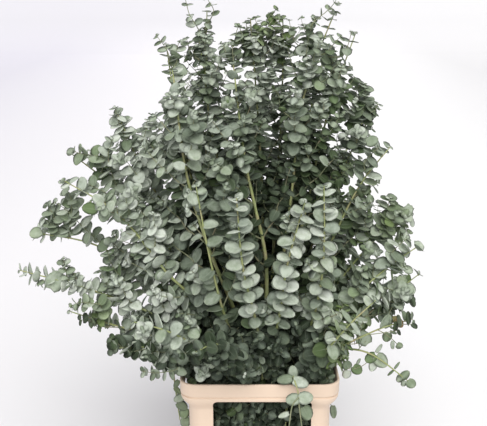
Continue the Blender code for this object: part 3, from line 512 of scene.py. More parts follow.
def leaf_material():
    mat, shader, add, wire, ramp, mix, math_ = nodes_of("eucalyptus_leaf")
    tone = add("Attribute", attribute_name="tone")
    split = add("SeparateColor")
    wire(tone.outputs["Color"], split.inputs[0])
    bloom, fresh, chance = split.outputs[0], split.outputs[1], split.outputs[2]
    under = tone.outputs["Alpha"]
    uv = add("UVMap", uv_map="blade")
    xy = add("SeparateXYZ")
    wire(uv.outputs[0], xy.inputs[0])
    u, v = xy.outputs[0], xy.outputs[1]
    here = add("TexCoord")
    # cloudy wax bloom and fine speckle
    cloud = add("TexNoise")
    cloud.inputs["Scale"].default_value = 95.0
    cloud.inputs["Detail"].default_value = 4.0
    cloud.inputs["Roughness"].default_value = 0.6
    wire(here.outputs["Object"], cloud.inputs["Vector"])
    speck = add("TexNoise")
    speck.inputs["Scale"].default_value = 900.0
    speck.inputs["Detail"].default_value = 2.0
    wire(here.outputs["Object"], speck.inputs["Vector"])
    # midrib: a narrow pale line along the middle; side veins: fine lines that run out from it
    off = math_("ABSOLUTE", math_("SUBTRACT", v, 0.5))
    rib = math_("SUBTRACT", 1.0, math_("MULTIPLY", off, 28.0), clamp=True)
    rib = math_("MULTIPLY", rib, math_("SUBTRACT", 1.08, u, clamp=True))
    slant = math_("SUBTRACT", math_("MULTIPLY", u, 46.0), math_("MULTIPLY", off, 42.0))
    vein = math_("POWER", math_("ABSOLUTE", math_("SINE", slant)), 0.5)
    vein = math_("SUBTRACT", 1.0, vein, clamp=True)
    vein = math_("MULTIPLY", vein, 0.55)
    lines = math_("MAXIMUM", rib, vein)
    base = ramp(chance, [(0.0, (0.008, 0.017, 0.007)), (0.40, (0.071, 0.112, 0.045)), (1.0, (0.165, 0.235, 0.110))])
    young = ramp(chance, [(0.0, (0.11, 0.18, 0.045)), (1.0, (0.24, 0.31, 0.10))])
    base = mix(fresh, base, young)
    wax = ramp(chance, [(0.0, (0.202, 0.250, 0.195)), (0.45, (0.462, 0.510, 0.430)), (1.0, (0.560, 0.595, 0.530))])
    dust = math_("MULTIPLY", math_("SUBTRACT", cloud.outputs["Fac"], 0.5), 2.0)
    amount = math_("MULTIPLY", bloom, math_("ADD", 1.0, dust))
    amount = math_("ADD", amount, math_("MULTIPLY", under, 0.05))
    amount = math_("MULTIPLY", amount, math_("SUBTRACT", 1.0, math_("MULTIPLY", fresh, 0.65)), clamp=True)
    colour = mix(amount, base, wax)
    pale = mix(math_("MULTIPLY", lines, 0.30), colour, (0.46, 0.52, 0.40))
    # the edge is a touch yellower and drier
    tip = math_("POWER", math_("ABSOLUTE", math_("SUBTRACT", u, 0.5)), 6.0)
    pale = mix(math_("MULTIPLY", tip, 10.0, clamp=True), pale, (0.30, 0.30, 0.17))
    fleck = math_("GREATER_THAN", speck.outputs["Fac"], 0.69)
    dry = math_("SUBTRACT", fresh, 1.0, clamp=True)
    pale = mix(dry, pale, (0.24, 0.135, 0.08))
    final = mix(math_("MULTIPLY", fleck, 0.30), pale, (0.16, 0.15, 0.09))
    wire(final, shader.inputs["Base Color"])
    rough = math_("ADD", 0.46, math_("MULTIPLY", amount, 0.24))
    wire(rough, shader.inputs["Roughness"])
    shader.inputs["Specular IOR Level"].default_value = 0.13
    shader.inputs["Sheen Weight"].default_value = 0.02
    shader.inputs["Sheen Roughness"].default_value = 0.5
    bump = add("Bump")
    bump.inputs["Strength"].default_value = 0.35
    bump.inputs["Distance"].default_value = 0.0006
    height = math_("ADD", math_("MULTIPLY", lines, -0.7), math_("MULTIPLY", cloud.outputs["Fac"], 0.5))
    wire(height, bump.inputs["Height"])
    wire(bump.outputs[0], shader.inputs["Normal"])
    return mat


def stem_material():
    mat, shader, add, wire, ramp, mix, math_ = nodes_of("eucalyptus_stem")
    tone = add("Attribute", attribute_name="tone")
    split = add("SeparateColor")
    wire(tone.outputs["Color"], split.inputs[0])
    thick, fresh, along = split.outputs[0], split.outputs[1], split.outputs[2]
    here = add("TexCoord")
    scale = add("Mapping")
    scale.inputs["Scale"].default_value = (1.0, 1.0, 0.22)
    wire(here.outputs["Object"], scale.inputs["Vector"])
    streak = add("TexNoise")
    streak.inputs["Scale"].default_value = 420.0
    streak.inputs["Detail"].default_value = 4.0
    wire(scale.outputs[0], streak.inputs["Vector"])
    patch = add("TexNoise")
    patch.inputs["Scale"].default_value = 38.0
    patch.inputs["Detail"].default_value = 3.0
    wire(here.outputs["Object"], patch.inputs["Vector"])
    twig = ramp(patch.outputs["Fac"], [(0.30, (0.10, 0.13, 0.07)), (0.55, (0.19, 0.20, 0.13)), (0.75, (0.25, 0.19, 0.13))])
    bark = ramp(patch.outputs["Fac"], [(0.28, (0.17, 0.22, 0.07)), (0.50, (0.27, 0.31, 0.11)), (0.74, (0.36, 0.31, 0.16))])
    colour = mix(thick, twig, bark)
    colour = mix(math_("MULTIPLY", math_("SUBTRACT", streak.outputs["Fac"], 0.42, clamp=True), 1.2, clamp=True), colour, (0.46, 0.45, 0.32))
    colour = mix(math_("MULTIPLY", fresh, 0.45), colour, (0.20, 0.055, 0.035))
    wire(colour, shader.inputs["Base Color"])
    wire(math_("ADD", 0.42, math_("MULTIPLY", streak.outputs["Fac"], 0.3)), shader.inputs["Roughness"])
    bump = add("Bump")
    bump.inputs["Strength"].default_value = 0.4
    bump.inputs["Distance"].default_value = 0.0005
    wire(streak.outputs["Fac"], bump.inputs["Height"])
    wire(bump.outputs[0], shader.inputs["Normal"])
    return mat


def plastic_material(name, colour, shade, lines):
    """Moulded plastic with faint mould texture, scuffs and, on the rim, fine level lines."""
    mat, shader, add, wire, ramp, mix, math_ = nodes_of(name)
    here = add("TexCoord")
    cloud = add("TexNoise")
    cloud.inputs["Scale"].default_value = 9.0
    cloud.inputs["Detail"].default_value = 5.0
    wire(here.outputs["Object"], cloud.inputs["Vector"])
    grain = add("TexNoise")
    grain.inputs["Scale"].default_value = 1400.0
    grain.inputs["Detail"].default_value = 2.0
    wire(here.outputs["Object"], grain.inputs["Vector"])
    stretch = add("Mapping")
    stretch.inputs["Scale"].default_value = (9.0, 9.0, 140.0)
    wire(here.outputs["Object"], stretch.inputs["Vector"])
    scuff = add("TexNoise")
    scuff.inputs["Scale"].default_value = 3.0
    scuff.inputs["Detail"].default_value = 6.0
    scuff.inputs["Roughness"].default_value = 0.7
    wire(stretch.outputs[0], scuff.inputs["Vector"])
    tint = mix(math_("MULTIPLY", cloud.outputs["Fac"], 0.75, clamp=True), colour, shade)
    worn = math_("MULTIPLY", math_("SUBTRACT", scuff.outputs["Fac"], 0.56, clamp=True), 2.2, clamp=True)
    tint = mix(math_("MULTIPLY", worn, 0.35), tint, tuple(0.72 * c for c in shade))
    wire(tint, shader.inputs["Base Color"])
    wire(math_("ADD", 0.36, math_("MULTIPLY", scuff.outputs["Fac"], 0.24)), shader.inputs["Roughness"])
    shader.inputs["Specular IOR Level"].default_value = 0.45
    bump = add("Bump")
    bump.inputs["Strength"].default_value = 0.12
    bump.inputs["Distance"].default_value = 0.0004
    wire(math_("ADD", grain.outputs["Fac"], math_("MULTIPLY", scuff.outputs["Fac"], lines)), bump.inputs["Height"])
    wire(bump.outputs[0], shader.inputs["Normal"])
    return mat


LEAF = leaf_material()
STEM = stem_material()
CREAM = plastic_material("cream_plastic", (0.720, 0.572, 0.446), (0.672, 0.520, 0.396), 0.8)
TUB = plastic_material("bucket_plastic", (0.715, 0.565, 0.438), (0.655, 0.503, 0.380), 0.6)


# ---------------------------------------------------------------- holder
def shell_rings(levels, corner, segments):
    """Rounded rectangular rings at (z, half width, half depth, corner radius)."""
    rings = []
    for z, hx, hy, r in levels:
        ring = []
        for q, (sx, sy) in enumerate(((1, 1), (-1, 1), (-1, -1), (1, -1))):
            for k in range(segments + 1):
                t = math.pi / 2 * (q + k / segments)
                ring.append((sx * (hx - r) + r * math.cos(t), sy * (hy - r) + r * math.sin(t), z))
        rings.append(ring)
    return rings


def lathe_like(name, levels, segments, close_first, mat):
    """A closed body from rings joined one after another, the last to the first or both capped."""
    bm = bmesh.new()
    rings = [[bm.verts.new(p) for p in ring] for ring in shell_rings(levels, None, segments)]
    loops = rings + ([rings[0]] if close_first else [])
    for a, b in zip(loops, loops[1:]):
        n = len(a)
        for k in range(n):
            bm.faces.new((a[k], a[(k + 1) % n], b[(k + 1) % n], b[k]))
    if not close_first:
        bm.faces.new(rings[0][::-1])
        bm.faces.new(rings[-1])
    bmesh.ops.recalc_face_normals(bm, faces=bm.faces)
    mesh = bpy.data.meshes.new(name)
    bm.to_mesh(mesh)
    bm.free()
    mesh.materials.append(mat)
    return link(bpy.data.objects.new(name, mesh))


def carve(obj, name, centre, size, corner, axis, segments=5):
    bm = bmesh.new()
    bmesh.ops.create_cube(bm, size=1.0)
    bmesh.ops.scale(bm, vec=size, verts=bm.verts)
    edges = [e for e in bm.edges if abs((e.verts[0].co - e.verts[1].co)[axis]) > size[axis] / 2]
    bmesh.ops.bevel(bm, geom=edges, offset=corner, segments=segments, affect="EDGES", profile=0.5)
    bmesh.ops.translate(bm, vec=centre, verts=bm.verts)
    mesh = bpy.data.meshes.new(name)
    bm.to_mesh(mesh)
    bm.free()
    tool = link(bpy.data.objects.new(name, mesh))
    cut = obj.modifiers.new(name, "BOOLEAN")
    cut.operation, cut.solver, cut.object = "DIFFERENCE", "EXACT", tool
    bpy.context.view_layer.update()
    graph = bpy.context.evaluated_depsgraph_get()
    made = bpy.data.meshes.new_from_object(obj.evaluated_get(graph))
    obj.modifiers.remove(cut)
    obj.data = made
    bpy.data.objects.remove(tool, do_unlink=True)


def soften(obj, width, segments=2, angle=28):
    """Rounds the edges and applies it, shaded smooth with sharp creases kept."""
    mod = obj.modifiers.new("soft", "BEVEL")
    mod.width = width
    mod.segments = segments
    mod.limit_method = "ANGLE"
    mod.angle_limit = math.radians(angle)
    mod.use_clamp_overlap = True
    mod.harden_normals = False
    bpy.context.view_layer.update()
    graph = bpy.context.evaluated_depsgraph_get()
    made = bpy.data.meshes.new_from_object(obj.evaluated_get(graph))
    obj.modifiers.remove(mod)
    obj.data = made
    made.shade_smooth()
    made.set_sharp_from_angle(angle=math.radians(38))


px, py = POST_X / 2, POST_Y / 2
rx, ry = RIM_X / 2, RIM_Y / 2
low = RIM_Z - RIM_BAND
C = CORNER_R
W = 0.0030
collar_levels = [
    # outside, from the foot up
    (COLLAR_FOOT_Z, px + 0.0060, py + 0.0060, C),
    (0.2270, px + 0.0065, py + 0.0065, C),
    (0.2305, px + 0.0050, py + 0.0050, C),
    (0.2340, px - 0.0010, py - 0.0010, C - 0.002),
    (0.3880, px, py, C - 0.002),
    (0.3920, px + 0.0012, py + 0.0012, C - 0.002),
    (0.3970, px + 0.0042, py + 0.0042, C - 0.001),
    (0.4030, px + 0.0086, py + 0.0086, C),
    (0.4090, px + 0.0120, py + 0.0120, C),
    (0.4150, px + 0.0140, py + 0.0140, C),
    (0.4200, rx - 0.0010, ry - 0.0010, C),
    (0.4206, rx - 0.0028, ry - 0.0028, C),
    (0.4232, rx - 0.0028, ry - 0.0028, C),
    (0.4240, rx - 0.0004, ry - 0.0004, C),
    (RIM_Z - 0.0062, rx - 0.0002, ry - 0.0002, C),
    (RIM_Z - 0.0050, rx, ry, C),
    (RIM_Z - 0.0010, rx, ry, C),
    (RIM_Z, rx - 0.0010, ry - 0.0010, C),
    # inside, back down
    (RIM_Z, rx - 0.0036, ry - 0.0036, C - 0.003),
    (RIM_Z - 0.0010, rx - 0.0044, ry - 0.0044, C - 0.003),
    (0.4240, rx - 0.0046, ry - 0.0046, C - 0.004),
    (0.4130, px + 0.0098, py + 0.0098, C - 0.004),
    (0.4020, px + 0.0040, py + 0.0040, C - 0.005),
    (0.3930, px - 0.0022, py - 0.0022, C - 0.005),
    (0.3860, px - W, py - W, C - 0.005),
    (0.2330, px - W - 0.001, py - W - 0.001, C - 0.005),
    (0.2285, px + 0.0030, py + 0.0030, C - 0.003),
    (COLLAR_FOOT_Z, px + 0.0030, py + 0.0030, C - 0.003),
]
collar = lathe_like("flower_collar", collar_levels, 10, True, CREAM)
LOW_W, HIGH_W = 0.250, 0.413
MID_W, TALL_W = (LOW_W + HIGH_W) / 2, HIGH_W - LOW_W
carve(collar, "cut_front", (0.005, -py, MID_W), (0.189, 0.060, TALL_W), 0.0095, 1)
carve(collar, "cut_back", (0, py, MID_W), (0.189, 0.060, TALL_W), 0.0095, 1)
carve(collar, "cut_left", (-px, 0, MID_W), (0.060, 0.270, TALL_W), 0.0095, 0)
carve(collar, "cut_right", (px, 0, MID_W), (0.060, 0.270, TALL_W), 0.0095, 0)
soften(collar, 0.0005, 2, 40)
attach(collar, "root")
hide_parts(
    "collar_foot",
    "collar_rim",
    "collar_post_front_left",
    "collar_post_front_right",
    "collar_post_back_left",
    "collar_post_back_right",
)

fx, fy = FOOT_X / 2, FOOT_Y / 2
bucket_levels = [
    (0.0000, fx - 0.0040, fy - 0.0040, C - 0.004),
    (0.0012, fx - 0.0012, fy - 0.0012, C - 0.001),
    (0.0040, fx, fy, C),
    (0.0600, fx + 0.0049, fy + 0.0049, C),
    (0.0604, fx + 0.0043, fy + 0.0043, C),
    (0.0630, fx + 0.0045, fy + 0.0045, C),
    (0.0634, fx + 0.0053, fy + 0.0053, C),
    (0.1700, fx + 0.0142, fy + 0.0142, C),
    (0.1790, fx + 0.0150, fy + 0.0150, C),
    (0.1815, fx + 0.0170, fy + 0.0170, C),
    (0.1835, fx + 0.0230, fy + 0.0230, C),
    (0.1850, fx + 0.0246, fy + 0.0246, C),
    (0.1990, fx + 0.0249, fy + 0.0249, C),
    (0.2000, fx + 0.0240, fy + 0.0240, C),
    (0.2000, fx + 0.0228, fy + 0.0228, C - 0.002),
    (0.1990, fx + 0.0222, fy + 0.0222, C - 0.002),
    (0.1868, fx + 0.0216, fy + 0.0216, C - 0.002),
    (0.1850, fx + 0.0150, fy + 0.0150, C - 0.002),
    (0.1815, fx + 0.0126, fy + 0.0126, C - 0.003),
    (0.0080, fx - 0.0022, fy - 0.0022, C - 0.003),
    (0.0034, fx - 0.0048, fy - 0.0048, C - 0.006),
    (0.0028, fx - 0.0090, fy - 0.0090, C - 0.008),
]
bucket = lathe_like("flower_bucket", bucket_levels, 10, False, TUB)
soften(bucket, 0.0004, 2, 50)
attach(bucket, "root")
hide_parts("bucket")


# ---------------------------------------------------------------- foliage
SHOWN = plan()
stem_points, stem_sizes, stem_owner = [], [], []
for i, b in enumerate(SHOWN):
    for p, r in zip(b["line"], b["radii"]):
        stem_points.append(p)
        stem_sizes.append(r)
        stem_owner.append(i)
wood = KDTree(len(stem_points))
for k, p in enumerate(stem_points):
    wood.insert(Vector(p), k)
wood.balance()


def meets_stem(p, r, owner):
    """Whether a ball at p touches the main stem of another branch."""
    for co, k, dist in wood.find_range(Vector(p), r + 0.010):
        if stem_owner[k] != owner and dist < r + stem_sizes[k] + 0.0008:
            return True
    return False


# how waxy (0 to 1) and how fresh green (0 to 1) each branch is
BLOOM = {  # the rest take their own from the seed
    "front_middle": 0.78, "front_right_inner": 0.70, "front_right_outer": 0.78, "front_left_inner": 0.66,
    "front_left_low": 0.70, "front_right_low": 0.45, "front_centre_low": 0.42, "over_rim_sprig": 0.45,
    "over_left_rim": 0.55, "stem_tall_left": 0.55, "stem_tall_middle": 0.45, "top_left": 0.50,
    "top_middle": 0.50, "top_right_inner": 0.42, "top_right": 0.50, "right_shoulder": 0.48, "right_high": 0.52,
    "right_upper": 0.58, "right_reach": 0.50, "right_middle": 0.60, "right_low": 0.42, "right_lowest": 0.40,
    "right_hanging": 0.62, "left_top_spray": 0.52, "left_high": 0.92, "left_upper": 0.42, "left_reach": 0.46,
    "left_middle": 0.58, "left_lower_reach": 0.66, "left_low": 0.48, "left_lowest": 0.72, "left_drooping": 0.55,
}
FRESH = {"right_low": 0.12, "left_low": 0.10}

STRINGS = ("front_middle", "front_right_inner", "front_right_outer")  # the pale strings at the front
MIDDLE = np.array([0.0, 0.0, 0.52])
placed = []  # centres and radii of leaves so far, by a coarse grid
grid = {}
CELL = 0.03


def clear_of_holder(p, r):
    """As inside_clear, but the rim is wider inside than the posts, and the side windows are open."""
    x, y, z = abs(p[0]), abs(p[1]), p[2]
    if z - r > 0.4275 and z < RIM_Z + r + 0.001:
        if x + r < RIM_X / 2 - 0.0062 and y + r < RIM_Y / 2 - 0.0062:
            return not (x + r > RIM_X / 2 - 0.024 and y + r > RIM_Y / 2 - 0.024)
    if 0.262 < z - r and z + r < 0.401 and y + r < 0.122 and x + r < 0.148:
        return True
    return inside_clear(p, r)


def crowded(c, r, owner, share):
    """Whether the middle of a leaf would lie too close to that of another."""
    key = tuple(int(math.floor(q / CELL)) for q in c)
    for dx in (-1, 0, 1):
        for dy in (-1, 0, 1):
            for dz in (-1, 0, 1):
                for other, size, who in grid.get((key[0] + dx, key[1] + dy, key[2] + dz), ()):
                    if who != owner and np.dot(c - other, c - other) < (share * (r + size)) ** 2:
                        return True
    return False


def settle(c, r, owner):
    grid.setdefault(tuple(int(math.floor(q / CELL)) for q in c), []).append((c, r, owner))


def make_leaf(root, d, n, r, rng, bloom, fresh):
    return {
        "o": root, "d": d, "n": n, "r": r, "wide": rng.uniform(0.82, 1.10),
        "cup": rng.uniform(-0.08, 0.24), "bend": rng.uniform(-0.40, 0.16), "fold": rng.uniform(0.5, 1.8),
        "wave": rng.uniform(0.0, 0.09), "phase": rng.uniform(0, 6.28),
        "point": rng.uniform(0.0, 0.08) if rng.random() < 0.55 else rng.uniform(0.08, 0.26),
        "roll": rng.uniform(-0.30, 0.30),
        "bloom": min(1.0, max(0.0, bloom + rng.gauss(0, 0.20))), "fresh": fresh,
        "chance": rng.random(),
    }


# The two bare stems at the front that show between the leaves, as lines on the elevation.
BARE = [((186, 160), (190, 186)), ((194, 208), (210, 256)), ((214, 268), (230, 306)), ((250, 188), (256, 212)), ((262, 240), (266, 254))]


def on_elevation(p):
    """The place of a point on the front elevation."""
    c, s = math.cos(PITCH), math.sin(PITCH)
    q = p - EYE
    deep = q[1] * c - q[2] * s
    return np.array([243.5 + SPAN * q[0] / deep, 213 - SPAN * (q[1] * s + q[2] * c) / deep])


def hides_bare_stem(p, r):
    """Whether a leaf at p lies over one of the bare stems, nearer the front."""
    if p[1] > -0.115:
        return False
    here = on_elevation(p)
    reach = r * 0.95 * SPAN / 1.4
    for a, b in BARE:
        a, b = np.array(a, float), np.array(b, float)
        t = min(1.0, max(0.0, np.dot(here - a, b - a) / np.dot(b - a, b - a)))
        if np.linalg.norm(a + (b - a) * t - here) < reach:
            return True
    return False


# Where the foliage is younger and fresher green: middle on the elevation, how far it reaches, how fresh
YOUNG = [((278, 30), 13, 0.8), ((367, 187), 9, 0.8), ((395, 226), 12, 0.75), ((350, 318), 22, 0.62), ((347, 352), 20, 0.72),
         ((103, 323), 15, 0.62), ((92, 215), 9, 0.5), ((218, 176), 10, 0.4), ((323, 268), 10, 0.5), ((166, 118), 8, 0.5)]


def freshness(p):
    if p[1] > 0.09:
        return 0.0
    here = on_elevation(p)
    return max(f * math.exp(-(math.hypot(here[0] - c[0], here[1] - c[1]) / w) ** 2) for c, w, f in YOUNG)


# The outline of the bunch on the elevation: how far it reaches to the left and to the right,
# by height, and a few places where one sees through it
LEFT_EDGE = [(0, 178), (15, 178), (25, 160), (36, 158), (50, 163), (60, 168), (84, 170), (95, 166), (103, 152), (107, 118), (122, 108), (135, 95),
             (146, 66), (158, 66), (170, 62), (184, 58), (200, 48), (215, 36), (228, 28), (240, 32), (247, 78), (257, 92),
             (262, 40), (267, 17), (275, 18), (283, 33), (288, 36), (296, 54), (303, 62), (312, 71), (320, 84),
             (326, 95), (333, 124), (338, 122), (342, 106), (348, 110), (352, 120), (357, 134), (362, 150), (368, 168), (376, 178),
             (384, 178), (430, 174)]
RIGHT_EDGE = [(0, 346), (15, 350), (30, 361), (45, 357), (60, 353), (75, 363), (85, 371), (95, 373), (105, 383), (114, 374),
              (126, 371), (138, 391), (150, 394), (160, 379), (175, 377), (188, 396), (200, 401), (208, 417), (220, 421),
              (245, 425), (255, 421), (262, 414), (272, 421), (285, 415), (300, 415), (312, 419), (320, 418), (325, 404),
              (329, 386), (334, 366), (342, 354), (350, 349), (360, 346), (372, 345), (430, 342)]
GAPS = [((196, 11), 6, 12), ((232, 12), 12, 16), ((224, 36), 5, 9), ((262, 5), 6, 8), ((296, 6), 9, 8), ((171, 14), 7, 11),
        ((140, 111), 8, 9), ((118, 226), 5, 5), ((80, 246), 16, 7), ((384, 170), 7, 6), ((372, 62), 8, 12), ((168, 84), 7, 8), ((155, 107), 6, 5), ((57, 250), 14, 8), ((78, 262), 11, 9), ((90, 250), 10, 7), ((328, 29), 8, 7), ((190, 30), 5, 6), ((165, 60), 5, 12), ((134, 103), 7, 8), ((104, 352), 5, 4), ((86, 168), 7, 5), ((390, 162), 9, 6), ((363, 152), 6, 4), ((66, 193), 5, 5), ((83, 201), 5, 4), ((412, 257), 8, 3), ((374, 328), 9, 5),
        ((84, 167), 10, 5), ((76, 264), 8, 6), ((100, 236), 4, 5), ((376, 316), 5, 4), ((356, 126), 4, 3)]
LEFT_V, LEFT_U = zip(*LEFT_EDGE)
RIGHT_V, RIGHT_U = zip(*RIGHT_EDGE)


def within_outline(p):
    """How far inside the outline a point shows on the elevation, in its own units; below 0 outside."""
    u, v = on_elevation(p)
    inner = min(u - np.interp(v, LEFT_V, LEFT_U), np.interp(v, RIGHT_V, RIGHT_U) - u)
    for (gu, gv), a, b in GAPS:
        away = math.hypot((u - gu) / a, (v - gv) / b)
        inner = min(inner, (away - 1) * min(a, b))
    return inner, v


def seen_in_outline(line):
    """The part of a twig before it would leave the outline."""
    for k, p in enumerate(line):
        if within_outline(p)[0] < 1.0:
            return line[:k]
    return line


def painted_shade_depth(p):
    """How much painted shade a leaf gets: 1 deep inside the bunch, down to 0 in its outer layer."""
    q = math.hypot(p[0] / 0.28, (p[1] - 0.02) / 0.27)
    return min(1.0, max(0.0, (1 - q) / 0.5)) * min(1.0, max(0.0, (1.02 - p[2]) / 0.22))


def pair_on(p, t, turn, r, stem_r, rng, bloom, fresh, owner, share, out):
    """Adds two opposite leaves at p on a stem that runs along t, if there is room for them."""
    x0 = across(t, turn)
    away = unit((p - MIDDLE) * np.array([1.0, 1.0, 0.55]) + np.array([0, -0.04, 0.10]))
    front = min(1.0, max(-1.0, (0.10 - p[1]) / 0.16))
    young = freshness(p)
    if rng.random() < 0.8:
        fresh = max(fresh, young)
    light = unit(0.55 * away + np.array([0, -0.85 * front, 0.42]))
    inner, v = within_outline(p)
    if share > 0.22 and rng.random() < 0.30 * math.exp(-max(inner, 0) / 14) + 0.10 * math.exp(-max(v, 0) / 34):
        return 0
    r = r * (1 - 0.22 * min(1.0, max(0.0, (75 - v) / 60)))
    here = on_elevation(p)
    feathery = 1 - math.hypot((here[0] - 346) / 15, (here[1] - 334) / 32) if p[1] < 0.05 else 0
    deep = painted_shade_depth(p)
    # painted shade: leaves deep inside the bunch are made less waxy and darker
    bloom = bloom * (1 - 0.92 * deep) + 0.06 * (1 - deep)
    # the middle just above the rim lies in the shade of the rest
    shade = min(1.0, max(0.0, (v - 316) / 20)) if share > 0.22 and 194 < here[0] < 328 and p[1] < 0.12 else 0.0
    bloom *= 1 - 0.72 * shade
    # painted shade: leaves in the middle of the bunch, behind the pale strings at the front, get a darker, less waxy
    # tone
    between = share > 0.22 and 198 < here[0] < 340 and 172 < v < 336 and SHOWN[owner]["name"] not in STRINGS
    made = []
    for sign in (1, -1):
        x = x0 * sign
        tilt = math.radians(rng.uniform(2, 34))
        d = unit(math.cos(tilt) * x + math.sin(tilt) * t)
        # the blade turns to the light: it leans out of the way of the light and faces it
        lean = rng.uniform(0.10, 0.95)
        toward = float(np.dot(d, light))
        d = unit(d - lean * toward * light + (0.30 * lean * abs(toward)) * t + np.array([rng.gauss(0, 0.12), rng.gauss(0, 0.12), -0.12 + rng.gauss(0, 0.12)]))
        n = unit(t - d * np.dot(t, d))
        n = unit(n + rng.uniform(0.3, 2.2) * light + 0.44 * np.array([rng.gauss(0, 1), rng.gauss(0, 1), rng.gauss(0, 1)]))
        n = unit(n - d * np.dot(n, d))
        size = r * rng.uniform(0.88, 1.10)
        root = p + d * stem_r * 0.6
        centre = root + d * size * 0.92
        if meets_stem(centre, size * 0.55, owner) or crowded(centre, size, owner, share) or hides_bare_stem(centre, size):
            continue
        if share > 0.22 and within_outline(centre)[0] < size * 0.30 * SPAN / 1.4:
            continue
        seen = on_elevation(centre)
        if centre[1] < -0.175 and centre[2] > RIM_Z - 0.02 and 174 < seen[0] < 345 and seen[1] + size * 0.9 * SPAN / 1.45 > 385:
            continue
        y = np.cross(n, d)
        edge = [centre + d * size * math.cos(q) + y * size * 1.1 * math.sin(q) for q in (0.0, 0.8, 1.6, 2.4, 3.9, 4.7, 5.5)]
        if not all(clear_of_holder(e, 0.0012) for e in edge):
            continue
        leaf = make_leaf(root, d, n, size, rng, bloom, fresh)
        least = 0.30 if SHOWN[owner]["name"].startswith("left") else 0.14
        # painted shade: deep inside the bunch and in the middle just above the rim a leaf takes a darker tone
        leaf["chance"] = (least + (1 - least) * leaf["chance"]) * (1 - 0.88 * deep) * (1 - 0.86 * shade)
        # painted shade of the middle of the bunch
        if between:
            leaf["chance"] *= 0.62
            leaf["bloom"] *= 0.70
        if feathery > 0:
            leaf["wide"] *= 0.42
        made.append((leaf, centre, size))
    for leaf, centre, size in made:
        settle(centre, size, owner)
        out.append(leaf)
    return len(made)


def dress(line, radii, first, owner, rng, turn, size_at, bloom, fresh, share, out, nodes):
    """Leaf pairs along a line from the place first on, each square to the one below it."""
    run = np.concatenate([[0], np.cumsum(np.linalg.norm(np.diff(line, axis=0), axis=1))])
    s = run[first] + 0.004
    last = 0.0
    while s < run[-1]:
        k = min(len(line) - 2, int(np.searchsorted(run, s)) - 1)
        k = max(0, k)
        f = (s - run[k]) / max(run[k + 1] - run[k], 1e-6)
        p = line[k] * (1 - f) + line[k + 1] * f
        r = size_at(s / run[-1])
        inner = bloom - 0.22 * (1 - s / run[-1]) ** 2
        if pair_on(p, frame_at(line, k), turn, r, radii[k], rng, inner, fresh, owner, share, out):
            last, end, along, grown = s, p, frame_at(line, k), r
            nodes.append(s / run[-1])
        turn += math.pi / 2 + rng.uniform(-0.25, 0.25)
        open_ = 1 + 0.65 * min(1.0, max(0.0, (80 - on_elevation(p)[1]) / 70))
        s += r * rng.uniform(0.95, 1.30) * open_
    if last:
        tip = end + along * 0.35 * grown
        pair_on(tip, along, turn + 1.2, 0.52 * grown, 0.0005, rng, bloom, fresh, owner, 0.20, out)
        last += 0.35 * grown
    return last


def up_to(line, radii, s):
    """A line and its radii up to the length s along it."""
    run = np.concatenate([[0], np.cumsum(np.linalg.norm(np.diff(line, axis=0), axis=1))])
    if s >= run[-1]:
        return line, radii
    k = max(1, int(np.searchsorted(run, s)))
    f = min(1.0, max(0.05, (s - run[k - 1]) / (run[k] - run[k - 1])))
    end = line[k - 1] * (1 - f) + line[k] * f
    return np.vstack([line[:k], end]), np.append(radii[:k], radii[k - 1] * (1 - f) + radii[k] * f)


def leaf_taper(s, length, grown):
    """A leaf's radius at the share s of a twig: full-grown but for the last few pairs."""
    left = (1 - s) * length
    return grown * (1.0 - 0.44 * math.exp(-left / 0.016) - 0.14 * math.exp(-left / 0.06))


def length_of(line):
    return float(np.linalg.norm(np.diff(line, axis=0), axis=1).sum())


def low_twig(start, along, side, length, drop):
    """A short leafy twig inside the collar or over its rim."""
    points, heading = [start], unit(side + 0.5 * along)
    steps = max(3, int(length / 0.009))
    for k in range(steps):
        heading = unit(heading + 0.10 * along + np.array([0, 0, drop]))
        points.append(points[-1] + heading * (length / steps))
    return np.array(points)


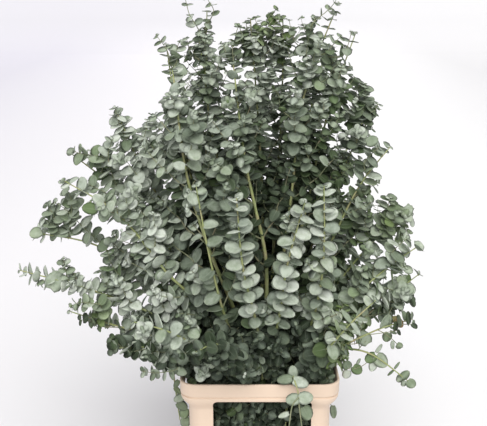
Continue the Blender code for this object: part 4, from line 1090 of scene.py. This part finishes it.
# Sprigs of their own: owner, route on the elevation (u, v, y), leaf size, bloom, fresh
SPRIGS = [
    ("top_left", [(206, 52, 0.01), (199, 30, 0.0), (190, 16, -0.01), (186, 2, -0.01), (184, -7, -0.01)], 0.66, 0.55, 0.0),
    ("top_left", [(201, 34, 0.02), (210, 20, 0.0), (214, 12, 0.0), (209, 2, 0.0), (206, -7, 0.0)], 0.66, 0.45, 0.0),
    ("left_top_spray", [(178, 92, -0.06), (172, 70, -0.06), (168, 52, -0.06), (156, 35, -0.06)], 0.70, 0.45, 0.0),
    ("top_middle", [(254, 60, 0.01), (252, 42, 0.0), (251, 26, 0.0)], 0.78, 0.45, 0.0),
    ("top_right_inner", [(281, 62, 0.05), (276, 40, 0.04), (275, 26, 0.03), (272, 13, 0.03)], 0.78, 0.35, 0.40),
    ("top_right", [(306, 88, -0.04), (306, 60, -0.05), (309, 36, -0.05), (316, 16, -0.05)], 0.75, 0.45, 0.0),
    ("top_right", [(322, 58, -0.04), (332, 46, -0.05), (341, 36, -0.05)], 0.80, 0.45, 0.0),
    ("left_middle", [(104, 246, -0.08), (84, 228, -0.09), (64, 208, -0.09), (54, 202, -0.09)], 0.84, 0.55, 0.0),
    ("left_middle", [(62, 234, -0.08), (50, 224, -0.09), (42, 216, -0.09)], 0.88, 0.60, 0.0),
    ("left_lower_reach", [(71, 288, -0.12), (67, 275, -0.12), (64, 264, -0.12), (63, 256, -0.12)], 0.58, 0.45, 0.0),
    ("left_high", [(132, 150, -0.03), (124, 134, -0.03), (118, 120, -0.03), (115, 108, -0.03)], 0.80, 0.60, 0.0),
    ("left_upper", [(118, 190, -0.06), (112, 174, -0.07), (108, 156, -0.07), (113, 138, -0.07)], 0.90, 0.75, 0.0),
    ("left_upper", [(110, 158, -0.07), (95, 156, -0.07), (82, 154, -0.07), (71, 150, -0.07)], 0.90, 0.35, 0.1),
    ("left_middle", [(74, 206, -0.09), (68, 192, -0.09), (64, 180, -0.09)], 0.75, 0.35, 0.1),
    ("left_middle", [(58, 220, -0.09), (50, 210, -0.09), (46, 204, -0.09)], 0.85, 0.35, 0.1),
    ("top_middle", [(246, 54, 0.01), (243, 40, 0.0), (240, 28, 0.0), (238, 22, 0.0)], 0.72, 0.40, 0.2),
    ("top_middle", [(258, 48, 0.01), (258, 34, 0.0), (256, 22, 0.0), (255, 16, 0.0)], 0.74, 0.35, 0.35),
    ("top_middle", [(250, 44, 0.02), (247, 32, 0.01), (246, 22, 0.01)], 0.70, 0.35, 0.3),
    ("top_right_inner", [(284, 46, 0.04), (282, 32, 0.03), (279, 20, 0.03), (279, 11, 0.03)], 0.76, 0.30, 0.45),
    ("top_right_inner", [(270, 44, 0.04), (267, 32, 0.03), (266, 22, 0.03), (271, 14, 0.03)], 0.74, 0.30, 0.40),
    ("top_right_inner", [(290, 44, 0.04), (291, 32, 0.03), (289, 20, 0.03)], 0.66, 0.35, 0.2),
    ("stem_tall_middle", [(233, 70, -0.07), (227, 56, -0.07), (223, 44, -0.07)], 0.74, 0.50, 0.0),
    ("top_left", [(200, 64, 0.01), (192, 50, 0.0), (184, 42, 0.0)], 0.66, 0.45, 0.0),
    ("right_high", [(362, 120, 0.0), (372, 112, 0.0), (379, 108, 0.0)], 0.80, 0.40, 0.1),
    ("right_high", [(352, 100, 0.0), (358, 90, 0.0), (362, 80, 0.0)], 0.80, 0.45, 0.0),
    ("top_middle", [(240, 46, 0.01), (236, 34, 0.0), (240, 24, 0.0)], 0.75, 0.35, 0.25),
    ("top_middle", [(262, 40, 0.01), (268, 26, 0.0), (278, 14, 0.0)], 0.75, 0.25, 0.45),
    ("top_middle", [(270, 34, 0.01), (274, 22, 0.0), (284, 18, 0.0)], 0.70, 0.25, 0.45),
    ("top_right", [(306, 34, -0.05), (314, 22, -0.05), (326, 12, -0.05), (335, 2, -0.05), (338, -6, -0.05)], 0.60, 0.40, 0.1),
    ("top_right", [(338, 62, -0.04), (346, 50, -0.04), (350, 38, -0.04), (352, 30, -0.04)], 0.75, 0.45, 0.0),
    ("right_high", [(350, 154, 0.02), (360, 128, 0.01), (364, 104, 0.0), (366, 86, 0.0)], 0.90, 0.45, 0.0),
    ("right_upper", [(360, 170, -0.10), (368, 158, -0.10), (380, 146, -0.10)], 0.80, 0.45, 0.0),
    ("right_reach", [(372, 240, -0.06), (386, 218, -0.07), (392, 204, -0.07)], 0.90, 0.45, 0.15),
    ("right_reach", [(356, 226, -0.05), (360, 212, -0.05), (366, 200, -0.05)], 0.80, 0.35, 0.45),
    ("right_reach", [(392, 240, -0.07), (402, 234, -0.07), (410, 228, -0.07)], 0.80, 0.40, 0.30),
    ("right_middle", [(388, 272, -0.14), (400, 270, -0.14), (408, 264, -0.14)], 0.85, 0.40, 0.25),
    ("right_middle", [(376, 296, -0.14), (392, 302, -0.14), (404, 306, -0.14)], 0.80, 0.45, 0.0),
    ("right_low", [(352, 318, -0.12), (368, 316, -0.12), (382, 314, -0.12), (392, 310, -0.12)], 0.72, 0.40, 0.2),
    ("left_upper", [(144, 186, -0.09), (136, 174, -0.09), (128, 163, -0.09), (123, 156, -0.09)], 0.92, 0.80, 0.0),
    ("left_lower_reach", [(120, 302, -0.12), (110, 290, -0.12), (104, 279, -0.12), (100, 271, -0.12)], 0.85, 0.55, 0.0),
    ("left_lowest", [(176, 352, -0.20), (160, 352, -0.20), (146, 350, -0.20), (134, 348, -0.20)], 0.80, 0.55, 0.0),
    ("left_reach", [(112, 196, -0.11), (100, 190, -0.11), (92, 186, -0.11), (86, 183, -0.11)], 0.85, 0.45, 0.0),
    ("right_upper", [(352, 200, -0.09), (360, 194, -0.09), (370, 192, -0.09)], 0.85, 0.40, 0.2),
    ("top_middle", [(240, 62, 0.01), (234, 54, 0.01), (226, 52, 0.01), (219, 50, 0.01)], 0.74, 0.45, 0.0),
    ("top_right_inner", [(268, 22, 0.03), (273, 12, 0.03), (279, 7, 0.03)], 0.70, 0.30, 0.45),
    ("left_low", [(108, 306, -0.16), (94, 304, -0.16), (80, 302, -0.16), (72, 306, -0.16)], 0.70, 0.30, 0.20),
    ("left_lowest", [(184, 366, -0.20), (170, 371, -0.20), (156, 373, -0.20), (141, 371, -0.20)], 0.62, 0.45, 0.0),
    ("top_left", [(192, 62, 0.01), (190, 50, 0.0), (186, 38, -0.01)], 0.70, 0.40, 0.0),
    ("top_middle", [(234, 60, 0.01), (226, 50, 0.0), (221, 42, 0.0)], 0.70, 0.40, 0.0),
    ("right_middle", [(372, 282, -0.14), (392, 290, -0.14), (410, 294, -0.14)], 0.84, 0.60, 0.0),
    ("right_shoulder", [(340, 100, -0.02), (348, 88, -0.02), (355, 76, -0.02)], 0.90, 0.40, 0.15),
    ("right_high", [(346, 122, 0.0), (355, 106, 0.0), (362, 92, 0.0), (367, 82, 0.0)], 0.95, 0.40, 0.1),
    ("right_high", [(352, 118, 0.02), (362, 110, 0.02), (371, 102, 0.02)], 0.90, 0.45, 0.0),
    ("top_right_inner", [(268, 50, 0.03), (262, 34, 0.03), (256, 22, 0.03)], 0.85, 0.40, 0.3),
    ("top_right", [(296, 48, -0.03), (293, 34, -0.03), (296, 20, -0.03)], 0.85, 0.40, 0.2),
    ("top_right", [(310, 50, -0.03), (308, 34, -0.03), (306, 22, -0.03)], 0.80, 0.35, 0.1),
    ("left_top_spray", [(178, 70, -0.06), (176, 54, -0.06), (180, 40, -0.06)], 0.80, 0.45, 0.1),
    ("stem_tall_middle", [(236, 68, -0.08), (232, 54, -0.08), (234, 40, -0.08)], 0.80, 0.45, 0.0),
    ("left_middle", [(142, 262, -0.10), (130, 256, -0.10), (118, 248, -0.10), (110, 238, -0.10)], 0.90, 0.45, 0.0),
    ("left_lower_reach", [(132, 290, -0.12), (120, 276, -0.12), (111, 264, -0.12), (108, 252, -0.12)], 1.00, 0.35, 0.0),
    
    ("right_reach", [(386, 222, -0.07), (388, 208, -0.07), (390, 194, -0.07)], 0.95, 0.40, 0.2),
    ("right_middle", [(386, 262, -0.14), (396, 248, -0.14), (408, 238, -0.14)], 0.95, 0.50, 0.0),
    ("right_lowest", [(322, 352, -0.15), (333, 336, -0.16), (340, 318, -0.16), (343, 302, -0.16)], 0.70, 0.10, 0.75),
    ("right_lowest", [(326, 356, -0.15), (340, 345, -0.16), (350, 330, -0.16), (356, 316, -0.16)], 0.70, 0.10, 0.75),
    ("right_lowest", [(320, 362, -0.15), (334, 360, -0.16), (346, 354, -0.16)], 0.70, 0.10, 0.70),
    ("front_middle", [(257, 326, -0.215), (257, 342, -0.214), (259, 358, -0.210), (261, 372, -0.206)], 0.68, 0.55, 0.0),
    ("right_low", [(318, 345, -0.12), (328, 326, -0.12), (334, 308, -0.12)], 0.70, 0.10, 0.65),
    ("right_hanging", [(322, 366, -0.14), (334, 366, -0.14), (344, 362, -0.14)], 0.65, 0.10, 0.70),
]

# Leaves set one by one: owner, middle on the elevation (u, v, y), the way it points on it in
# degrees, length and width there, bloom, fresh
SET_LEAVES = [
    ("over_rim_sprig", (284.5, 379.5, -0.214), 190, 15, 10, 0.45, 0.0),
    ("over_rim_sprig", (300.5, 382.5, -0.216), -18, 15, 11, 0.50, 0.0),
    ("over_rim_sprig", (292.5, 399.5, -0.232), 190, 14, 12, 0.62, 0.0),
    ("over_rim_sprig", (305.5, 398.0, -0.234), 8, 13, 13, 0.66, 0.0),
    ("over_rim_sprig", (307.0, 413.5, -0.228), -60, 15, 12, 0.55, 0.0),
    ("over_rim_sprig", (284.0, 415.0, -0.228), 200, 10, 6, 0.55, 0.0),
    ("over_rim_sprig", (293.0, 372.0, -0.205), 95, 12, 9, 0.30, 0.0),
    ("right_lowest", (399.0, 322.5, -0.165), -60, 10, 7, 0.0, 1.75),
    ("right_upper", (372.0, 141.0, -0.115), 20, 12, 11, 0.10, 0.0),
    ("left_reach", (90.0, 208.5, -0.150), 170, 14, 12, 0.25, 0.15),
    ("left_lower_reach", (55.0, 281.0, -0.110), 60, 18, 17, 0.60, 0.0),
    ("left_middle", (36.0, 233.0, -0.085), 200, 12, 11, 0.15, 0.15),
    ("stem_tall_left", (191.0, 149.0, -0.175), 25, 14, 11, 1.00, 0.0),
    ("stem_tall_left", (179.0, 166.0, -0.175), 170, 12, 10, 0.85, 0.0),
    ("right_hanging", (364.5, 338.5, -0.150), 125, 13, 13, 0.20, 0.0),
    ("right_hanging", (370.5, 358.0, -0.150), 215, 12, 10, 0.15, 0.0),
    ("right_hanging", (380.5, 360.5, -0.150), -50, 13, 13, 0.25, 0.15),
    ("right_hanging", (379.0, 348.5, -0.150), 52, 10, 4, 0.35, 0.0),
    ("right_hanging", (373.0, 366.0, -0.150), 255, 10, 8, 0.75, 0.0),
    ("right_hanging", (390.5, 373.0, -0.150), 222, 8, 2.5, 0.35, 0.0),
    ("right_hanging", (397.0, 365.5, -0.150), 52, 8, 2.5, 0.35, 0.0),
    ("right_hanging", (400.5, 378.5, -0.150), 225, 9, 8, 0.35, 0.0),
    ("right_hanging", (405.0, 375.0, -0.152), 40, 9, 8, 0.45, 0.0),
    ("right_hanging", (411.0, 383.5, -0.150), -45, 9, 9, 0.30, 0.15),
    ("right_hanging", (404.0, 384.0, -0.152), 250, 7, 6, 0.45, 0.0),
    ("right_hanging", (346.5, 364.5, -0.140), 120, 9, 9, 0.45, 0.0),
    ("right_hanging", (346.5, 374.5, -0.140), 250, 9, 8, 0.80, 0.0),
    ("right_hanging", (357.0, 369.5, -0.142), -40, 10, 10, 0.45, 0.0),
    ("right_hanging", (358.5, 361.5, -0.142), 60, 7, 3, 0.35, 0.0),
    ("right_lowest", (387.0, 337.0, -0.170), 250, 9, 9, 0.35, 0.2),
    ("right_lowest", (392.5, 345.5, -0.170), 265, 9, 4, 0.75, 0.0),
    ("right_lowest", (399.5, 346.0, -0.170), -30, 7, 7, 0.30, 0.2),
    ("right_lowest", (393.5, 332.5, -0.170), -20, 8, 3, 0.30, 0.0),
    ("right_lowest", (392.0, 328.0, -0.170), -40, 6, 2.5, 0.30, 0.0),
    ("right_lowest", (395.0, 319.5, -0.165), 190, 9, 7, 0.20, 1.5),
    ("right_low", (333.5, 411.5, -0.050), -86, 12, 6, 0.30, 0.0),
    ("front_left_low", (190.0, 380.0, -0.160), 200, 8, 7, 0.10, 0.0),
    ("front_left_low", (187.5, 375.0, -0.158), 120, 7, 6, 0.22, 0.0),
    ("front_left_low", (194.5, 376.0, -0.156), 40, 9, 8, 0.12, 0.0),
    ("front_left_low", (193.0, 382.0, -0.162), -40, 8, 7, 0.08, 0.0),
    ("front_right_low", (327.5, 380.5, -0.160), 210, 8, 7, 0.10, 0.0),
    ("front_right_low", (331.5, 377.0, -0.160), 30, 7, 6, 0.15, 0.1),
    ("front_right_low", (328.0, 373.5, -0.156), 130, 8, 7, 0.12, 0.1),
    ("front_right_low", (323.5, 382.5, -0.160), -60, 8, 7, 0.08, 0.0),
    ("front_right_low", (332.0, 382.5, -0.163), -30, 6, 5, 0.08, 0.0),
    ("over_left_rim", (176.5, 384.0, -0.130), 240, 9, 5, 0.30, 0.0),
    ("over_left_rim", (177.5, 390.5, -0.130), -50, 9, 5, 0.30, 0.2),
    ("over_left_rim", (179.5, 398.0, -0.130), 205, 11, 8, 0.35, 0.0),
    ("over_left_rim", (182.0, 405.5, -0.130), -35, 11, 9, 0.30, 0.0),
    ("over_left_rim", (184.0, 413.5, -0.130), 250, 11, 9, 0.30, 0.1),
    ("over_left_rim", (185.5, 422.5, -0.130), -80, 11, 9, 0.35, 0.0),
]


# Shoots that point to the front, seen from the tip: owner, middle, how wide, bloom, fresh, turn
for who, (u, v, y), wide, bloom, fresh, turn in (
    ("right_middle", (403.0, 291.0, -0.155), 12.0, 0.62, 0.0, 20),
    ("right_reach", (404.0, 215.0, -0.075), 11.5, 0.50, 0.25, 55),
    ("right_middle", (367.0, 250.0, -0.165), 9.5, 0.55, 0.05, 75),
    ("front_left_low", (143.0, 330.0, -0.290), 11.5, 0.85, 0.0, 40),
    ("right_upper", (357.0, 131.0, -0.115), 9.0, 0.72, 0.0, 10),
    ("front_left_low", (202.0, 372.0, -0.235), 10.5, 0.70, 0.0, 65),
    ("front_left_low", (211.0, 362.0, -0.240), 8.5, 0.62, 0.05, 15),
    ("left_reach", (132.0, 190.0, -0.230), 11.0, 0.80, 0.0, 30),
    ("left_upper", (118.0, 160.0, -0.150), 9.5, 0.80, 0.0, 60),
    ("stem_tall_left", (228.0, 103.0, -0.160), 8.5, 0.55, 0.20, 25),
    ("stem_tall_middle", (252.0, 98.0, -0.160), 9.0, 0.80, 0.0, 70),
):
    for k, (share, near) in enumerate(((1.0, 0.0), (0.86, 0.004), (0.66, 0.008), (0.42, 0.012))):
        for q in (0, 180):
            way = turn + q + 84 * k + (7 if q else -5)
            off = wide * share * 0.46
            SET_LEAVES.append((who, (u + off * math.cos(math.radians(way)), v - off * math.sin(math.radians(way)), y - near), way, wide * share * 0.98, wide * share * (0.92 - 0.05 * k), bloom - 0.06 * k, fresh))

# Leafy twigs inside the collar and the rim, each from the nearest branch to its place
FILLERS = {}
for side in (-1, 1):
    for y in (-0.155, -0.115, -0.075, -0.035, 0.005, 0.045, 0.085, 0.125, 0.155):
        for x, z in ((0.118, 0.365), (0.120, 0.420), (0.124, 0.455), (0.110, 0.480)):
            FILLERS[(side * x, y, z)] = ""
    for y in (-0.165, -0.125, -0.085, -0.045, -0.005, 0.035, 0.075, 0.115, 0.150):
        FILLERS[(side * 0.136, y, 0.463)] = ""
        if -0.13 < y < 0.12:
            FILLERS[(side * 0.128, y, 0.385)] = ""
        if y < 0:
            FILLERS[(side * 0.125, y + 0.015, 0.437)] = ""
for x in (-0.085, -0.045, 0.0, 0.045, 0.085):
    for y, z in ((0.160, 0.400), (0.168, 0.450), (-0.160, 0.350), (-0.165, 0.430)):
        FILLERS[(x, y, z)] = ""
for target in FILLERS:
    near = []
    for other in SHOWN:
        if other["name"].startswith("over"):
            continue
        low_part = other["line"][(other["line"][:, 2] > target[2] - 0.075) & (other["line"][:, 2] < target[2] - 0.025)]
        if len(low_part):
            near.append((float(np.linalg.norm(low_part - np.array(target), axis=1).min()), other["name"]))
    FILLERS[target] = min(near)[1]

# Thin bare twigs that carry leaves set one by one: owner, route
THIN_TWIGS = [
    ("right_hanging", [(336, 356, -0.130), (342, 366, -0.135), (351, 369, -0.140), (362, 366, -0.145), (373, 357, -0.150)]),
    ("right_hanging", [(358, 350, -0.150), (362, 345, -0.150), (366, 341, -0.150)]),
    ("right_lowest", [(378, 330, -0.170), (384, 333, -0.170), (392, 339, -0.170), (398, 345, -0.170)]),
    ("front_left_low", [(203, 370, -0.150), (196, 376, -0.157), (190, 379, -0.160)]),
    ("front_right_low", [(317, 372, -0.150), (324, 377, -0.157), (331, 380, -0.160)]),
    ("right_low", [(322, 398, -0.050), (329, 403, -0.050), (333, 407, -0.050)]),
]


def set_leaf(middle, angle, length, width, bloom, fresh, rng):
    u, v, y = middle
    t = math.radians(angle)
    c = spot(u, v, y)
    right, up = spot(u + 1, v, y) - c, spot(u, v - 1, y) - c
    d = right * math.cos(t) + up * math.sin(t)
    step = float(np.linalg.norm(d))
    d = d / step
    r = length * step / 1.84
    face = unit(EYE - c + np.array([rng.gauss(0, 0.25), 0, rng.gauss(0, 0.25)]))
    n = unit(face - d * np.dot(face, d))
    leaf = make_leaf(c - d * r * 0.92, d, n, r, rng, bloom, fresh)
    leaf["wide"] = width / length * 0.98
    leaf["chance"] = 0.35 + 0.4 * rng.random()
    settle(c, r, -1)
    return leaf


for i, b in enumerate(SHOWN):
    name = b["name"]
    rng = random.Random(5000 + i)
    n = len(b["line"]) - 1
    behind = name.startswith(("back", "side"))
    bloom = BLOOM.get(name, 0.40 + 0.3 * rng.random())
    # painted light: branches at the top and the tall stems are made waxier and paler for the light from above and
    # through the leaves; those on the left and right are made waxier too
    bloom += 0.29 if name.startswith("left") else 0.25 if name.startswith(("top", "stem_tall")) else 0.15 if name.startswith("right") else 0.0
    fresh0 = FRESH.get(name, 0.0) + (0.13 if name.startswith(("top", "right")) and name not in STRINGS else 0.0)
    size = LEAF_R * b["size"] * (0.78 if name in STRINGS else 0.90 if name.startswith("front") else 0.93)
    leaves, verts, tris, tones, count = [], [], [], [], 0

    def add_tube(points, radii, sides, thick, fresh):
        global count
        v, f, along = tube(points, radii, sides)
        verts.append(v)
        tris.append(f + count)
        tone = np.zeros((len(v), 4))
        tone[:, 0], tone[:, 1], tone[:, 2] = thick, fresh, along
        tones.append(tone)
        count += len(v)

    for who, middle, angle, length, width, leaf_bloom, leaf_fresh in SET_LEAVES:
        if who == name:
            leaves.append(set_leaf(middle, angle, length, width, leaf_bloom, leaf_fresh, rng))
    swell = b["radii"] * (1 + 0.06 * np.sin(np.arange(n + 1) * 1.9 + i)) * (1.25 if name.startswith("stem_tall") else 1.0)
    # sprigs that show against the background
    for who, way, grown, sprig_bloom, sprig_fresh in SPRIGS:
        if who != name:
            continue
        fine = smooth([spot(*q) for q in way], 0.007)
        join = int(np.argmin(np.linalg.norm(b["line"] - fine[0], axis=1)))
        fine = smooth([b["line"][join]] + list(fine[2::3]) + [fine[-1]], 0.007)
        rs = np.array([0.0013 * (1 - 0.6 * q / (len(fine) - 1)) for q in range(len(fine))])
        run, grown = length_of(fine), LEAF_R * grown * 1.10
        reach = dress(fine, rs, 1, i, rng, rng.uniform(0, 3), lambda s: leaf_taper(s, run, grown), sprig_bloom, sprig_fresh, 0.20, leaves, [])
        if reach:
            add_tube(*up_to(fine, rs, reach), 5, 0.25, 0.0)
    if name == "top_right":
        # the tip of this stem stands above the outline of the bunch and has small pairs of its own
        tip = smooth([q for q in b["line"] if on_elevation(q)[1] < 50], 0.007)
        dress(tip, np.linspace(0.0014, 0.0008, len(tip)), 0, i, random.Random(77), 0.4, lambda s: LEAF_R * (0.76 - 0.26 * s), 0.50, 0.1, 0.20, leaves, [])
    if name == "over_rim_sprig":
        b["twigs"] = []
        for way in ([(299, 397, -0.232), (293, 404, -0.236), (289, 426, -0.236)], [(299, 399, -0.232), (299.5, 408, -0.233), (302, 428, -0.233)]):
            fine = smooth([spot(*q) for q in way], 0.006)
            add_tube(fine, np.linspace(0.0014, 0.0011, len(fine)), 6, 0.25, 0.0)
    longest = sorted(range(len(b["twigs"])), key=lambda k: -len(b["twigs"][k][0]))[:2]
    for k, (twig, r0, turn, place) in enumerate(b["twigs"]):
        if (k not in longest and rng.random() < (0.50 if name in STRINGS else 0.30)) or name == "over_left_rim":
            continue
        if any(meets_stem(p, r0 * 0.8, i) or not inside_clear(p, r0 + 0.001) for p in twig[1:]):
            continue
        up = (place / n - b["leafy"]) / (1 - b["leafy"])
        m = len(twig) - 1
        if np.dot(unit(twig[m] - twig[0]), unit(EYE - twig[0])) > 0.70 and rng.random() < 0.75:
            continue
        sway = np.array([rng.gauss(0, 1), rng.gauss(0, 1), rng.gauss(0, 1)]) * 0.0022
        knots = [twig[q] + sway * math.sin(q * 1.3) * (q > 0) for q in range(0, m + 1, 2)]
        fine = seen_in_outline(smooth(knots + ([twig[m]] if m % 2 else []), 0.007))
        if len(fine) < 4:
            continue
        rs = np.array([r0 * (1 - 0.66 * q / (len(fine) - 1)) for q in range(len(fine))])
        twig_fresh = min(1.0, fresh0 + (0.40 if rng.random() < 0.035 else 0.0))
        twig_bloom = bloom + rng.gauss(0, 0.24)
        grown = size * (1.06 - 0.24 * up) * rng.uniform(0.86, 1.10)
        run = length_of(fine)
        red = 0.35 if rng.random() < 0.3 else 0.0
        reach = dress(fine, rs, 1, i, rng, turn, lambda s: leaf_taper(s, run, grown), twig_bloom, twig_fresh, 0.36, leaves, [])
        if reach:
            add_tube(*up_to(fine, rs, reach), 5, 0.25, red)
    if name.startswith(("top", "stem_tall", "right_shoulder", "left_top", "back_left_top", "back_right_top")):
        # looser twigs near the top, that lean well out
        for q in range(7):
            k = int(n * rng.uniform(0.72, 0.95))
            along = frame_at(b["line"], k)
            fine = seen_in_outline(low_twig(b["line"][k], along, across(along, rng.uniform(0, 6.28)), rng.uniform(0.040, 0.085), 0.03))
            if len(fine) < 4 or any(meets_stem(p, 0.0008, i) for p in fine[1:]):
                continue
            rs = np.array([0.0009 * (1 - 0.5 * q_ / (len(fine) - 1)) for q_ in range(len(fine))])
            run, grown = length_of(fine), size * rng.uniform(0.80, 0.98)
            reach = dress(fine, rs, 1, i, rng, rng.uniform(0, 3), lambda s: leaf_taper(s, run, grown), bloom + rng.gauss(0, 0.20), 0.0, 0.34, leaves, [])
            if reach:
                add_tube(*up_to(fine, rs, reach), 4, 0.25, 0.0)
    top = int(n * (b["leafy"] + 0.30 * (1 - b["leafy"])))
    run = length_of(b["line"])
    reach = run
    if name == "right_hanging":
        # its last stretch carries the leaves that are set one by one
        stop = next(k for k, q in enumerate(b["line"]) if on_elevation(q)[0] > 358 and q[2] > 0.4)
        dress(b["line"][:stop], b["radii"][:stop], top, i, rng, rng.uniform(0, 3), lambda s: size, bloom, fresh0, 0.34, leaves, [])
        far = [k for k, q in enumerate(b["line"]) if on_elevation(q)[0] < 410]
        reach = length_of(b["line"][: far[-1] + 1])
    elif not name.startswith("over"):
        reach = dress(b["line"], b["radii"], top, i, rng, rng.uniform(0, 3), lambda s: leaf_taper(s, run, size * 1.04), bloom, fresh0, 0.34, leaves, []) or run
    add_tube(*up_to(b["line"], swell, reach), 9, 1.0, 0.0)
    for who, way in THIN_TWIGS:
        if who == name:
            fine = smooth([spot(*q) for q in way], 0.006)
            add_tube(fine, np.linspace(0.0010, 0.0007, len(fine)), 5, 0.25, 0.0)
    # short leafy twigs low down, inside the collar and up to the rim
    low_leaves = []
    for k in range(2, n - 2):
        z = b["line"][k][2]
        if not 0.255 < z < 0.56 or rng.random() < (0.62 if z > 0.45 else 0.20 if z > 0.33 else 0.40) or name.startswith("over"):
            continue
        along = frame_at(b["line"], k)
        turn = rng.uniform(0, 6.28)
        reach, side = rng.uniform(0.022, 0.050), across(along, turn)
        if z > 0.31 and rng.random() < 0.55:
            # some lean out to the posts and the rim
            reach, side = rng.uniform(0.040, 0.085), unit(b["line"][k] * np.array([1.0, 0.8, 0]) + 0.05 * side)
        fine = low_twig(b["line"][k], along, side, reach, -0.02)
        if any(meets_stem(p, 0.0008, i) or not clear_of_holder(p, 0.0016) for p in fine[1:]):
            continue
        rs = np.array([0.0010 * (1 - 0.5 * q / (len(fine) - 1)) for q in range(len(fine))])
        before = len(low_leaves)
        run, grown = length_of(fine), size * (rng.uniform(0.95, 1.15) if z > 0.43 else rng.uniform(0.80, 1.05))
        # painted shade: leaves low down inside the collar take little wax
        reach = dress(fine, rs, 1, i, rng, rng.uniform(0, 3), lambda s: leaf_taper(s, run, grown), bloom * 0.18, fresh0 * 0.5 + (0.3 if rng.random() < 0.06 else 0.0), 0.36, low_leaves, [])
        if len(low_leaves) > before and reach:
            add_tube(*up_to(fine, rs, reach), 4, 0.25, 0.0)
    for target, who in FILLERS.items():
        if who != name:
            continue
        goal = np.array(target)
        start = min((q for q in b["line"] if -0.075 < q[2] - goal[2] < -0.025), key=lambda q: np.linalg.norm(q - goal))
        fine = smooth([start, start * 0.45 + goal * 0.55 + np.array([0, 0, 0.012]), goal], 0.007)
        rs = np.array([0.0012 * (1 - 0.5 * q / (len(fine) - 1)) for q in range(len(fine))])
        if any(meets_stem(p, 0.0008, i) or not clear_of_holder(p, 0.0016) for p in fine[1:]):
            continue
        run, grown = length_of(fine), LEAF_R * 0.95
        add_tube(fine, rs, 4, 0.25, 0.0)
        # painted shade: the filler leaves inside the collar and the rim take little wax
        dress(fine, rs, 1, i, rng, rng.uniform(0, 3), lambda s: leaf_taper(s, run, grown), 0.12, 0.0, 0.26, low_leaves, [])
    # painted shade: most low leaves inside the collar are made dark green and unwaxed, a few keep a mid tone
    for leaf in low_leaves:
        if rng.random() < (0.30 if leaf["o"][2] < 0.42 else 0.10):
            leaf["chance"], leaf["bloom"] = 0.6 * leaf["chance"] + 0.1, 0.36
        else:
            leaf["chance"] *= 0.12
            leaf["bloom"] = max(0.0, leaf["bloom"] - 0.06)
    stem = mesh_object(name + "_stem", np.concatenate(verts), np.concatenate(tris), STEM, tone=np.concatenate(tones))
    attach(stem, "root")
    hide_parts(name)
    # the finest blades are those at the front; the rest have fewer faces across
    fine_blades = [leaf for leaf in leaves if leaf["r"] > 0.0100 and not behind and leaf["o"][1] < 0.09]
    round_blades = [leaf for leaf in leaves if leaf["r"] > 0.0085 and not (leaf["r"] > 0.0100 and not behind and leaf["o"][1] < 0.09)]
    small = [leaf for leaf in leaves if leaf["r"] <= 0.0085]
    bits = [leaves_mesh(group, shape) for group, shape in ((fine_blades, FULL), (round_blades, ROUND), (low_leaves, MIDDLING), (small, SMALL)) if group]
    if bits:
        offset, allv, allf, alluv, allt = 0, [], [], [], []
        for v, f, uv, tone in bits:
            allv.append(v)
            allf.append(f + offset)
            alluv.append(uv)
            allt.append(tone)
            offset += len(v)
        blades = mesh_object(name + "_leaves", np.concatenate(allv), np.concatenate(allf), LEAF, uv=np.concatenate(alluv), tone=np.concatenate(allt))
        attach(blades, "root")


# ---------------------------------------------------------------- floor, backdrop and light
def floor_and_backdrop():
    """A pale floor that curves up far behind into a backdrop."""
    width, front, back, radius, high = 60.0, -70.0, 16.0, 4.0, 12.0
    side = [(front, -0.0006), (back - radius, -0.0006)]
    for k in range(1, 13):
        t = math.pi / 2 * k / 12
        side.append((back - radius + radius * math.sin(t), radius - radius * math.cos(t)))
    side.append((back, high))
    bm = bmesh.new()
    left = [bm.verts.new((-width, y, z)) for y, z in side]
    right = [bm.verts.new((width, y, z)) for y, z in side]
    for k in range(len(side) - 1):
        bm.faces.new((left[k], right[k], right[k + 1], left[k + 1]))
    bmesh.ops.recalc_face_normals(bm, faces=bm.faces)
    mesh = bpy.data.meshes.new("floor")
    bm.to_mesh(mesh)
    bm.free()
    mesh.shade_smooth()
    mat, shader, add, wire, ramp, mix, math_ = nodes_of("pale_floor")
    here = add("TexCoord")
    apart = add("SeparateXYZ")
    wire(here.outputs["Object"], apart.inputs[0])
    across_ = math_("ADD", math_("MULTIPLY", apart.outputs[0], 0.16), 0.5, clamp=True)
    # painted light and shade: the floor is darker to the left and at the far right and lightest right of the middle,
    # standing in for uneven studio light; up the backdrop it is darker still
    wire(mix(math_("MULTIPLY", math_("POWER", math_("MAXIMUM", apart.outputs[2], 0.0), 0.5), 1.45, clamp=True), ramp(across_, [(0.0, (0.638, 0.624, 0.676)), (0.34, (0.784, 0.772, 0.788)), (0.66, (0.853, 0.848, 0.852)), (1.0, (0.690, 0.685, 0.694))]), ramp(across_, [(0.0, (0.565, 0.556, 0.586)), (1.0, (0.615, 0.611, 0.620))])), shader.inputs["Base Color"])
    shader.inputs["Roughness"].default_value = 0.9
    shader.inputs["Specular IOR Level"].default_value = 0.1
    mesh.materials.append(mat)
    obj = link(bpy.data.objects.new("floor", mesh))


floor_and_backdrop()

bpy.context.scene.view_settings.view_transform = "Standard"
world = bpy.data.worlds.new("studio")
bpy.context.scene.world = world
world.use_nodes = True
back = world.node_tree.nodes["Background"]
back.inputs[0].default_value = (0.96, 0.965, 1.0, 1)
back.inputs[1].default_value = 0.36


def soft_sun(name, where, power, angle, colour):
    """A large soft source far off in the direction of where."""
    data = bpy.data.lights.new(name, "SUN")
    data.energy = power
    data.angle = math.radians(angle)
    data.color = colour
    obj = link(bpy.data.objects.new(name, data))
    obj.location = where
    obj.rotation_euler = (-Vector(where)).to_track_quat("-Z", "Y").to_euler()


soft_sun("key", (0.45, -2.3, 2.7), 3.08, 50, (1.0, 0.995, 0.98))
soft_sun("fill", (-1.2, -2.6, 1.3), 0.70, 60, (1.0, 1.0, 1.0))
